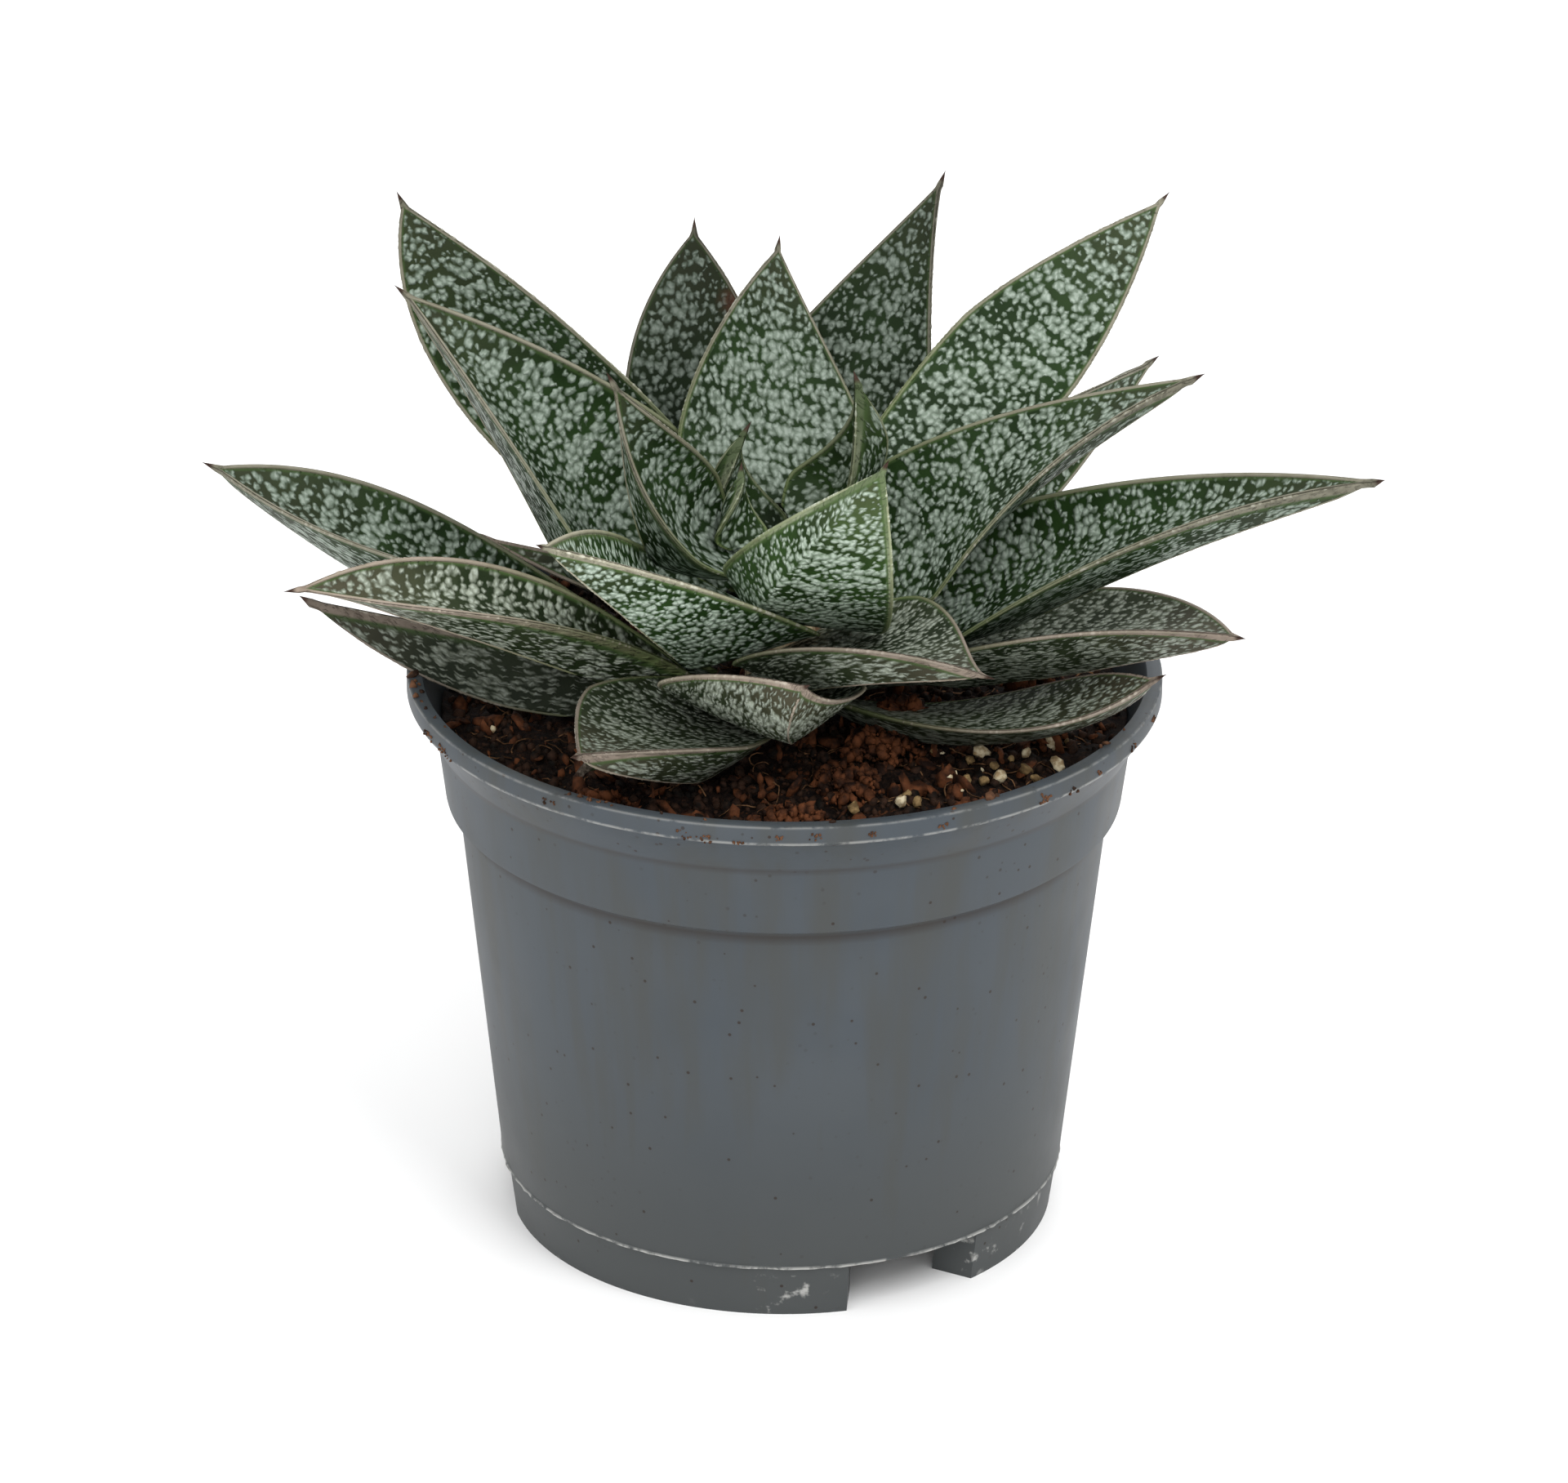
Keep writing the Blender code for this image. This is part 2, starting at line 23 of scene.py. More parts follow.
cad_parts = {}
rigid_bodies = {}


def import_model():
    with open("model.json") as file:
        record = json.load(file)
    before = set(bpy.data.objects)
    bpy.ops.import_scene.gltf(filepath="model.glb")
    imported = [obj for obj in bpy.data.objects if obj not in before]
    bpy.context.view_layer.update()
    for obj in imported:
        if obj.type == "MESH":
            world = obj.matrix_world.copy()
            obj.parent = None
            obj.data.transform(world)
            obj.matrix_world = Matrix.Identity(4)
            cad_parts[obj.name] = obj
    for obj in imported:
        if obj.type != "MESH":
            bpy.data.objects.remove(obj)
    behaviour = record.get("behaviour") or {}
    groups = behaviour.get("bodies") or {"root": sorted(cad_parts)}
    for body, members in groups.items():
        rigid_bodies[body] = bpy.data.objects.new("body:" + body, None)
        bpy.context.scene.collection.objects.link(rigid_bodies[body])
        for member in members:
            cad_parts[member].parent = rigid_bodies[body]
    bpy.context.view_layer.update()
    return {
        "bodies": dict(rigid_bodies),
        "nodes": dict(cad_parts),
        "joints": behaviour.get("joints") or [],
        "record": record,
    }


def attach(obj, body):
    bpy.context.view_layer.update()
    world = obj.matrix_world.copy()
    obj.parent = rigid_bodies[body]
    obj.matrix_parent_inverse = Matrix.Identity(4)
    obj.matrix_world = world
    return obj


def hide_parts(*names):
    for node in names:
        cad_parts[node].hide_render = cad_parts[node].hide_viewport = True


# A millimetre in metres, and the millimetres within which corners join along a seam
MM, SEAM = 0.001, 0.002
LOG = logging.getLogger("gasteria")
Socket = bpy.types.NodeSocket
Colour = tuple[float, float, float, float]
Triple = tuple[float, float, float]


class Age(Enum):
    """Age of a leaf, which sets its ground colour."""

    YOUNG = "young"
    MATURE = "mature"
    OLD = "old"


@dataclass(frozen=True)
class LeafForm:
    """One leaf: where its base sits on the stem, how it runs, and its section.

    Angles are degrees. Channel is the depth of the upper face over the half width, and
    keel_side the keel's place across the half width.
    """

    name: str
    age: Age
    azimuth: float
    base_z: float
    base_radius: float
    lift: float
    curl: float
    sweep: float
    length: float
    half_width: float
    roll: float
    twist: float
    channel: float
    thickness: float
    keel_side: float
    tip_power: float
    widest: float


class Graph:
    """Short way to place and join the nodes of one tree."""

    def __init__(self, tree: bpy.types.NodeTree) -> None:
        """Take the tree."""
        self.tree = tree

    def feed(self, node: bpy.types.Node, sockets: dict) -> bpy.types.Node:
        """Set or join the inputs of a node.

        Args:
            node: The node.
            sockets: Input name or number to a constant, or to an output socket to join.

        Returns:
            The same node.
        """
        for key, value in sockets.items():
            if isinstance(value, Socket):
                self.tree.links.new(value, node.inputs[key])
            else:
                node.inputs[key].default_value = value
        return node

    def add(self, kind: str, sockets: dict | None = None, **settings: object) -> bpy.types.Node:
        """Add one node.

        Args:
            kind: Type name of the node without its ShaderNode prefix.
            sockets: Input name or number to a constant, or to an output socket to join.
            settings: Properties of the node itself.

        Returns:
            The new node.
        """
        node = self.tree.nodes.new(f"ShaderNode{kind}")
        for name, value in settings.items():
            setattr(node, name, value)
        return self.feed(node, sockets or {})

    def shade(self, sockets: dict) -> None:
        """Set or join inputs of the material's Principled shader."""
        self.feed(self.tree.nodes["Principled BSDF"], sockets)

    def place(self) -> Socket:
        """Object coordinates, in metres."""
        return self.add("TexCoord").outputs["Object"]

    def attribute(self, name: str) -> Socket:
        """Value of a vertex attribute."""
        return self.add("Attribute", attribute_name=name).outputs["Fac"]

    def math(self, operation: str, *values: object) -> Socket:
        """Result of a Math node on constants or sockets."""
        return self.add("Math", dict(enumerate(values)), operation=operation).outputs[0]

    def times(self, first: object, second: object) -> Socket:
        """Product of two constants or sockets."""
        return self.math("MULTIPLY", first, second)

    def vector(self, operation: str, *values: object) -> Socket:
        """Result of a Vector Math node on constants or sockets."""
        return self.add("VectorMath", dict(enumerate(values)), operation=operation).outputs[0]

    def ramp(
        self, value: object, low: float, high: float, start: float = 0.0, end: float = 1.0
    ) -> Socket:
        """Smooth step of a value.

        Args:
            value: Socket to read.
            low: Value that gives start.
            high: Value that gives end.
            start: Result at low.
            end: Result at high.

        Returns:
            The output socket.
        """
        node = self.add(
            "MapRange",
            {"Value": value, "From Min": low, "From Max": high, "To Min": start, "To Max": end},
            interpolation_type="SMOOTHSTEP",
        )
        return node.outputs["Result"]

    def mix(self, share: object, first: object, second: object, blend: str = "MIX") -> Socket:
        """Blend of two colours, the first at a share of 0 and the second at 1."""
        sockets = {0: share, 6: first, 7: second}
        return self.add("Mix", sockets, data_type="RGBA", blend_type=blend).outputs[2]

    def noise(
        self, vector: object, scale: float, detail: float = 3.0, rough: float = 0.55
    ) -> Socket:
        """Noise of a scale, with its number of octaves and the weight of the finer ones."""
        sockets = {"Vector": vector, "Scale": scale, "Detail": detail, "Roughness": rough}
        return self.add("TexNoise", sockets).outputs["Fac"]

    def bump(self, height: object, strength: float, depth: float) -> Socket:
        """Normal of a raised surface, whose depth is in millimetres."""
        sockets = {"Strength": strength, "Distance": depth * MM, "Height": height}
        return self.add("Bump", sockets).outputs[0]


def new_group(
    name: str, inputs: dict[str, tuple[str, object]], outputs: dict[str, str]
) -> tuple[bpy.types.NodeTree, Graph, bpy.types.Node, bpy.types.Node]:
    """Start a shader node group.

    Args:
        name: Name of the group.
        inputs: Input name to its socket type and default.
        outputs: Output name to its socket type.

    Returns:
        The group, its graph, its input node and its output node.
    """
    tree = bpy.data.node_groups.new(name, "ShaderNodeTree")
    for key, (kind, default) in inputs.items():
        socket = tree.interface.new_socket(key, in_out="INPUT", socket_type=f"NodeSocket{kind}")
        if default is not None:
            socket.default_value = default
    for key, kind in outputs.items():
        tree.interface.new_socket(key, in_out="OUTPUT", socket_type=f"NodeSocket{kind}")
    graph = Graph(tree)
    return tree, graph, tree.nodes.new("NodeGroupInput"), tree.nodes.new("NodeGroupOutput")


def new_material(name: str) -> tuple[bpy.types.Material, Graph]:
    """Start a material with a Principled shader.

    Args:
        name: Name of the material.

    Returns:
        The material and its graph.
    """
    made = bpy.data.materials.new(name)
    made.use_nodes = True
    return made, Graph(made.node_tree)


def absorb(bm: bmesh.types.BMesh, part: bmesh.types.BMesh, slot: int = 0) -> None:
    """Add a closed part to a bmesh, with its faces turned outwards, and free the part.

    Args:
        bm: Mesh that takes the part.
        part: The part.
        slot: Number of the material that its faces get.
    """
    bmesh.ops.recalc_face_normals(part, faces=part.faces[:])
    for face in part.faces:
        face.material_index = slot
    mesh = bpy.data.meshes.new("part")
    part.to_mesh(mesh)
    part.free()
    bm.from_mesh(mesh)
    bpy.data.meshes.remove(mesh)


def finish_piece(
    name: str, bm: bmesh.types.BMesh, *materials: bpy.types.Material
) -> bpy.types.Object:
    """Make a smooth-shaded object of a bmesh, with its faces turned outwards.

    Args:
        name: Name of the piece.
        bm: Mesh to take over and free.
        materials: Its materials, in the order of the faces' numbers.

    Returns:
        The new object.
    """
    bmesh.ops.recalc_face_normals(bm, faces=bm.faces[:])
    mesh = bpy.data.meshes.new(name)
    bm.to_mesh(mesh)
    bm.free()
    mesh.shade_smooth()
    for material in materials:
        mesh.materials.append(material)
    made = bpy.data.objects.new(name, mesh)
    bpy.context.scene.collection.objects.link(made)
    return made


@dataclass(frozen=True)
class LeafSkin:
    """Finish of a leaf: dark ground, pale raised tubercles and horny tan margins."""

    name: str
    ground: Colour
    deep: Colour
    pale: Colour
    margin: Colour
    blush: Colour
    edge_green: Colour = (0.045, 0.078, 0.024, 1.0)
    heel: Colour = (0.1, 0.135, 0.05, 1.0)
    # Colour of the painted highlight on the tubercles' tops
    painted_glint: Colour = (0.4, 0.45, 0.4, 1.0)
    wound: Colour = (0.055, 0.024, 0.013, 1.0)
    horn: Colour = (0.045, 0.025, 0.018, 1.0)
    dot_size: float = 1.22
    tip_margin: float = 1.0
    bump: float = 1.0
    bump_depth: float = 0.3
    specular: float = 0.1

    def material(self, tubercles: bpy.types.NodeTree) -> bpy.types.Material:
        """Build the material.

        Args:
            tubercles: Group that gives the tubercles' mask and height.

        Returns:
            The material.
        """
        made, graph = new_material(self.name)
        uv = graph.add("UVMap", uv_map="skin").outputs[0]
        along, rim = graph.attribute("along"), graph.attribute("rim")
        place = graph.place()
        streak = graph.times(graph.attribute("face"), graph.attribute("streak"))
        inward = graph.math(
            "ADD", graph.attribute("cover"), graph.ramp(rim, 1.0, 7.0, -0.04, 0.05)
        )
        dots = graph.add(
            "Group",
            {"Skin": uv, "Streak": streak, "Along": along, "Size": self.dot_size, "Cover": inward},
            node_tree=tubercles,
        ).outputs
        mask = graph.times(dots["Mask"], graph.ramp(rim, 0.45, 0.9))
        broad = graph.noise(place, 90.0)
        tone = graph.mix(graph.ramp(broad, 0.35, 0.68), self.deep, self.ground)
        tone = graph.mix(graph.ramp(along, 0.6, 1.0, 0.0, 0.45), tone, self.blush)
        cloud = graph.ramp(graph.noise(place, 420.0, 3.0, 0.7), 0.62, 0.3, 0.0, 0.4)
        dot = graph.mix(cloud, self.pale, self.ground)
        # Each dot darkens to the ground towards its edge: partly its soft edge, partly painted shade that
        # makes it look domed
        dot = graph.mix(graph.ramp(dots["Height"], 0.2, 0.9, 0.4, 0.0), dot, self.ground)
        # Painted highlight: a glint on the top of each tubercle
        dot = graph.mix(graph.ramp(dots["Height"], 0.72, 1.0, 0.0, 0.3), dot, self.painted_glint)
        tone = graph.mix(mask, tone, dot)
        tone = graph.mix(graph.ramp(rim, 1.05, 0.55, 0.0, 0.8), tone, self.edge_green)
        patch = graph.ramp(graph.noise(place, 330.0, 3.0, 0.7), 0.35, 0.7, 0.0, 0.5)
        dry = graph.mix(graph.ramp(along, 0.15, 0.7), self.heel, self.margin)
        fading = graph.ramp(along, 0.6, 0.85, 1.0, self.tip_margin)
        edge = graph.times(graph.ramp(rim, 0.62, 0.34), fading)
        tone = graph.mix(edge, tone, graph.mix(patch, dry, self.blush))
        # Painted light and shade: the leaf's tone attribute darkens leaves that lie in shade and lightens
        # those in light
        tone = graph.mix(1.0, tone, graph.attribute("tone"), "MULTIPLY")
        tone = graph.mix(graph.attribute("scar"), tone, self.wound)
        tone = graph.mix(graph.ramp(along, 1.005, 1.05), tone, self.horn)
        grain = graph.times(graph.noise(place, 1400.0, 2.0), 0.14)
        swell = graph.math("ADD", grain, graph.times(broad, 0.7))
        height = graph.math("ADD", dots["Height"], swell)
        graph.shade({
            "Base Color": tone,
            "Roughness": graph.ramp(mask, 0.0, 1.0, 0.55, 0.34),
            "Specular IOR Level": self.specular,
            "Normal": graph.bump(height, self.bump, self.bump_depth),
        })
        return made


def tubercle_group() -> bpy.types.NodeTree:
    """Group of the raised pale spots, which run together in places.

    Returns:
        Group with Mask and Height; Streak draws the spots out along the leaf.
    """
    tree, graph, source, result = new_group(
        "raised tubercles",
        {
            "Skin": ("Vector", None),
            "Streak": ("Float", 0.0),
            "Along": ("Float", 0.5),
            "Size": ("Float", 1.3),
            "Cover": ("Float", 0.0),
        },
        {"Mask": "Float", "Height": "Float"},
    )
    given = source.outputs

    def wavy(vector: Socket, scale: float, detail: float) -> bpy.types.NodeOutputs:
        """Outputs of a flat noise."""
        sockets = {"Vector": vector, "Scale": scale, "Detail": detail}
        return graph.add("TexNoise", sockets, noise_dimensions="2D").outputs

    def drawn(vector: Socket, across: tuple[float, float], along: tuple[float, float]) -> Socket:
        """Coordinates scaled from the first to the second values as the streak grows.

        Args:
            vector: Coordinates to scale.
            across: The two scales across the leaf.
            along: The two scales along the leaf.

        Returns:
            The output socket.
        """
        wide = graph.ramp(given["Streak"], 0.0, 1.0, *across)
        long = graph.ramp(given["Streak"], 0.0, 1.0, *along)
        return graph.vector(
            "MULTIPLY", vector, graph.add("CombineXYZ", {0: wide, 1: long, 2: 1.0}).outputs[0]
        )

    skin = graph.add("VectorMath", {0: given["Skin"], 3: 10.0}, operation="SCALE").outputs[0]
    bent = skin
    for scale, detail, reach in ((0.45, 2.0, 1.1), (1.1, 1.0, 0.5)):
        shift = wavy(skin, scale, detail)["Color"]
        bent = graph.vector("MULTIPLY_ADD", shift, (reach, reach, 0.0), bent)
    cells = graph.add(
        "TexVoronoi",
        {
            "Vector": drawn(bent, (1.0, 1.75), (0.88, 0.55)),
            "Scale": graph.math("DIVIDE", 1.0, given["Size"]),
            "Randomness": 0.85,
            "Smoothness": 0.4,
        },
        voronoi_dimensions="2D",
        feature="SMOOTH_F1",
    )
    chance = graph.add("SeparateColor", {0: cells.outputs["Color"]}).outputs[0]
    patch = wavy(drawn(bent, (0.5, 1.3), (1.7, 0.6)), 0.24, 1.0)["Fac"]
    spread = graph.ramp(patch, 0.34, 0.66, -0.14, 0.16)
    size = graph.math("MULTIPLY_ADD", chance, 0.13, 0.37)
    heel = graph.ramp(given["Along"], 0.5, 0.1, 0.0, 0.05)
    point = graph.ramp(given["Along"], 0.82, 0.99, 0.0, -0.08)
    crowd = graph.math("ADD", given["Cover"], graph.math("ADD", heel, point))
    radius = graph.math("ADD", graph.math("ADD", size, spread), crowd)
    share = graph.math("DIVIDE", cells.outputs["Distance"], graph.math("MAXIMUM", radius, 0.05))
    graph.feed(
        result, {"Mask": graph.ramp(share, 1.15, 0.62), "Height": graph.ramp(share, 1.2, 0.05)}
    )
    return tree


@dataclass(frozen=True)
class HornFinish:
    """Finish of the horny margins: tan cartilage with whiter teeth."""

    name: str
    band: Colour
    tooth: Colour
    heel: Colour = (0.115, 0.15, 0.06, 1.0)
    patch: Colour = (0.12, 0.11, 0.065, 1.0)

    def material(self) -> bpy.types.Material:
        """Build the material.

        Returns:
            The material.
        """
        made, graph = new_material(self.name)
        patch = graph.ramp(graph.noise(graph.place(), 330.0, 2.0), 0.35, 0.75, 0.0, 0.45)
        dry = graph.ramp(graph.attribute("along"), 0.15, 0.7)
        band = graph.mix(patch, graph.mix(dry, self.heel, self.band), self.patch)
        bitten = graph.mix(graph.ramp(graph.attribute("tooth"), 0.3, 0.9), band, self.tooth)
        # Painted light and shade of the leaf, from its tone attribute
        shaded = graph.mix(1.0, bitten, graph.attribute("tone"), "MULTIPLY")
        graph.shade({"Base Color": shaded, "Roughness": 0.5, "Specular IOR Level": 0.3})
        return made


def swept_grid(
    columns: int,
    rows: int,
    place: Callable[[int, int], Vector],
    layers: dict[str, Callable[[int, int], float]],
    chart: Callable[[int, int, int], tuple[float, float]],
) -> bmesh.types.BMesh:
    """Closed tube made from a flat grid whose first and last columns are joined.

    Args:
        columns: Number of faces round the tube.
        rows: Number of faces along it.
        place: Gives the point of a column and row, in metres.
        layers: Name of a vertex attribute to its value at a column and row.
        chart: Gives the texture coordinates of a column and row in a face of a column.

    Returns:
        The bmesh, with both ends capped.
    """
    bm = bmesh.new()
    uv = bm.loops.layers.uv.new("skin")
    bmesh.ops.create_grid(bm, x_segments=columns, y_segments=rows, size=0.5)
    for name in layers:
        bm.verts.layers.float.new(name)
    spots = {
        vert: (round((vert.co.x + 0.5) * columns), round((vert.co.y + 0.5) * rows))
        for vert in bm.verts
    }
    for name, value in layers.items():
        layer = bm.verts.layers.float[name]
        for vert, spot in spots.items():
            vert[layer] = value(*spot)
    for face in bm.faces:
        column = min(spots[loop.vert][0] for loop in face.loops)
        for loop in face.loops:
            loop[uv].uv = chart(*spots[loop.vert], column)
    for vert, spot in spots.items():
        vert.co = place(*spot)
    bmesh.ops.remove_doubles(bm, verts=bm.verts[:], dist=SEAM * MM)
    bmesh.ops.holes_fill(bm, edges=[edge for edge in bm.edges if edge.is_boundary], sides=0)
    return bm


@dataclass
class LeafShape:
    """Section and run of one leaf, from the values that the solid model uses too."""

    form: LeafForm
    base_width: float = 0.42
    margin_thickness: float = 0.7
    channel_start: float = 0.25
    tip_half_width: float = 0.4
    mucro_length: float = 2.4
    spine_steps: int = 240
    spine: list[Vector] = field(default_factory=list)

    def __post_init__(self) -> None:
        """Lay out the leaf's middle line."""
        centre = Vector((self.form.base_radius, 0, 0))
        self.spine = [centre]
        for step in range(self.spine_steps):
            ahead = self.heading((step + 0.5) / self.spine_steps)
            centre = centre + ahead * (self.form.length / self.spine_steps)
            self.spine.append(centre)
        turn = Matrix.Rotation(math.radians(self.form.azimuth), 4, "Z")
        self.stand = Matrix.Translation((0, 0, self.form.base_z * MM)) @ turn

    def heading(self, t: float) -> Vector:
        """Direction of the middle line.

        Args:
            t: Fraction of the leaf's length.

        Returns:
            Unit vector in the leaf's own space.
        """
        rise = math.radians(self.form.lift + self.form.curl * t)
        turn = math.radians(self.form.sweep * t)
        return Vector(
            (math.cos(rise) * math.cos(turn), math.cos(rise) * math.sin(turn), math.sin(rise))
        )

    def half_width(self, t: float) -> float:
        """Half width of the blade.

        Args:
            t: Fraction of the leaf's length.

        Returns:
            Half width in millimetres.
        """
        form = self.form
        if t < form.widest:
            share = self.base_width + (1 - self.base_width) * math.sin(
                math.pi / 2 * t / form.widest
            )
        else:
            share = 1 - ((t - form.widest) / (1 - form.widest)) ** form.tip_power
        return max(self.tip_half_width, form.half_width * share)

    def depths(self, t: float) -> Triple:
        """Half width, depth of the channel and height of the keel below it.

        Args:
            t: Fraction of the leaf's length.

        Returns:
            The three sizes in millimetres.
        """
        wide = self.half_width(t)
        start = min(1.0, t / self.channel_start)
        body = self.form.thickness * (wide / self.form.half_width) ** 0.5
        body = min(body * (0.65 + 0.35 * start), 1.3 * wide + 0.6)
        return wide, self.form.channel * wide * start, body

    def point(self, t: float, across: float, rise: float) -> Vector:
        """Point of a section.

        Args:
            t: Fraction of the leaf's length. Above 1 it runs on straight into the tip.
            across: Distance to the side in millimetres.
            rise: Distance upwards in millimetres.

        Returns:
            The point in metres, in the scene.
        """
        held = min(t, 1.0)
        number = min(int(held * self.spine_steps), self.spine_steps - 1)
        part = held * self.spine_steps - number
        centre = self.spine[number].lerp(self.spine[number + 1], part)
        ahead = self.heading(held)
        turn = math.radians(self.form.sweep * held)
        side = Vector((math.sin(turn), -math.cos(turn), 0))
        up = side.cross(ahead)
        roll = math.radians(self.form.roll + self.form.twist * held)
        across_line = side * math.cos(roll) + up * math.sin(roll)
        up_line = up * math.cos(roll) - side * math.sin(roll)
        centre = centre + ahead * (max(0.0, t - 1.0) * self.form.length)
        return self.stand @ ((centre + across_line * across + up_line * rise) * MM)


@dataclass(frozen=True)
class LeafLook:
    """What sets one leaf's finish apart from its age's.

    Cover adds to the spots' radius, tone is painted light and shade that darkens or lightens the
    whole leaf, streak draws out the spots of its lower face, keel says whether a horny line
    follows the keel, and a scar is given by its distance along the leaf, its place across the
    half width and its half size.
    """

    cover: float = 0.03
    tone: float = 1.0
    streak: float = 0.75
    keel: bool = True
    scar: Triple | None = None


@dataclass
class Blade:
    """Fine mesh of one leaf, with its charts and attributes."""

    shape: LeafShape
    look: LeafLook
    offset: float
    rows: int = 84
    tip_rows: int = 7
    tip_reach: float = 0.99
    upper: int = 20
    lower: int = 13
    edge: int = 3
    narrowing: float = 0.97
    margin_bulge: float = 0.12
    flank_share: float = 0.54
    least_body: float = 0.4
    upper_stretch: float = 1.05
    lower_chart: float = 60.0

    @property
    def columns(self) -> int:
        """Faces round the blade."""
        return self.upper + 2 * self.lower + 2 * self.edge

    def along(self, row: int) -> float:
        """Fraction of the leaf's length at a row.

        Args:
            row: Number of the row, from the base.

        Returns:
            The fraction, above 1 in the horny tip.
        """
        if row <= self.rows:
            return row / self.rows
        share = (row - self.rows) / self.tip_rows
        return 1 + share * self.tip_reach * self.shape.mucro_length / self.shape.form.length

    def age(self, row: int) -> float:
        """Value of the attribute along: 0 to 1 on the blade, up to 1.1 in the horny tip."""
        return row / self.rows if row <= self.rows else 1 + 0.1 * (row - self.rows) / self.tip_rows

    def shrink(self, row: int) -> float:
        """Scale of the section at a row, which falls in the horny tip."""
        return 1.0 if row <= self.rows else max(0.05, 1 - (row - self.rows) / self.tip_rows)

    def spot(self, column: int, row: int) -> tuple[float, float]:
        """Place of a column in the section of a row.

        Args:
            column: Number of the column, from the right margin over the upper face.
            row: Number of the row.

        Returns:
            Distance across and upwards in millimetres.
        """
        wide, channel, body = self.shape.depths(min(1.0, self.along(row)))
        size = self.shrink(row)
        thick = self.shape.margin_thickness
        narrow = self.narrowing * wide
        keel = (self.shape.form.keel_side * wide, -channel - body)
        turn = column - self.upper
        if column <= self.upper:
            across = wide * math.cos(math.pi * column / self.upper)
            rise = -channel * (1 - (across / wide) ** 2)
        elif turn < self.edge or column > self.columns - self.edge:
            left = turn < self.edge
            share = (turn if left else self.columns - column) / self.edge
            bulge = self.margin_bulge * math.sin(math.pi * share)
            reach = wide + (narrow - wide) * share + bulge
            across, rise = (-reach if left else reach), -thick * share
        else:
            step = turn - self.edge
            left = step <= self.lower
            share = step / self.lower if left else 2 - step / self.lower
            start = -narrow if left else narrow
            middle = (start + keel[0]) * 0.5
            above = -channel * (1 - (middle / wide) ** 2)
            flank = min((keel[1] - thick) * self.flank_share, above - self.least_body * body)
            bend = (middle, 2 * flank - 0.5 * (keel[1] - thick))
            ends = (1 - share) ** 2, 2 * share * (1 - share), share**2
            across = ends[0] * start + ends[1] * bend[0] + ends[2] * keel[0]
            rise = -ends[0] * thick + ends[1] * bend[1] + ends[2] * keel[1]
        return across * size, rise * size

    def place(self, column: int, row: int) -> Vector:
        """Point of a column and row in the scene."""
        return self.shape.point(self.along(row), *self.spot(column % self.columns, row))

    def rim(self, column: int, row: int) -> float:
        """Distance from the nearer margin.

        Args:
            column: Number of the column.
            row: Number of the row.

        Returns:
            Distance in millimetres.
        """
        wide = self.shape.half_width(min(1.0, self.along(row)))
        across = abs(self.spot(column % self.columns, row)[0])
        return max(0.0, wide - across)

    def scar(self, column: int, row: int) -> float:
        """Strength of the leaf's brown scar.

        Args:
            column: Number of the column.
            row: Number of the row.

        Returns:
            Strength from 0 to 1.
        """
        if self.look.scar is None:
            return 0.0
        far, side, size = self.look.scar
        wide = self.shape.half_width(min(1.0, self.along(row)))
        ahead = self.along(row) * self.shape.form.length - far
        aside = self.spot(column % self.columns, row)[0] - side * wide
        return max(0.0, min(1.0, 1.6 - 1.6 * math.hypot(ahead, aside) / size))

    def chart(self, column: int, row: int, face: int) -> tuple[float, float]:
        """Texture coordinates in centimetres.

        Args:
            column: Number of the column.
            row: Number of the row.
            face: Column of the face that is charted.

        Returns:
            Distance from the middle line or the keel, and distance along the leaf.
        """
        across, rise = self.spot(column % self.columns, row)
        length = self.along(row) * self.shape.form.length + self.offset
        if face < self.upper:
            return across * self.upper_stretch / 10, length / 10
        middle = self.spot(self.columns - self.edge - self.lower, row)
        reach = math.hypot(across - middle[0], rise - middle[1])
        side = math.copysign(reach, across - middle[0])
        return (side + self.lower_chart) / 10, length / 10

    def mesh(self) -> bmesh.types.BMesh:
        """Make the blade.

        Returns:
            Closed mesh with its chart and attributes.
        """
        lower_face = range(self.upper + 1, self.columns)
        layers = {
            "face": lambda column, row: float(column in lower_face),
            "along": lambda column, row: self.age(row),
            "rim": self.rim,
            "scar": self.scar,
            "cover": lambda column, row: self.look.cover,
            # tone carries the leaf's painted light and shade
            "tone": lambda column, row: self.look.tone,
            "streak": lambda column, row: self.look.streak,
        }
        rows = self.rows + self.tip_rows
        return swept_grid(self.columns, rows, self.place, layers, self.chart)


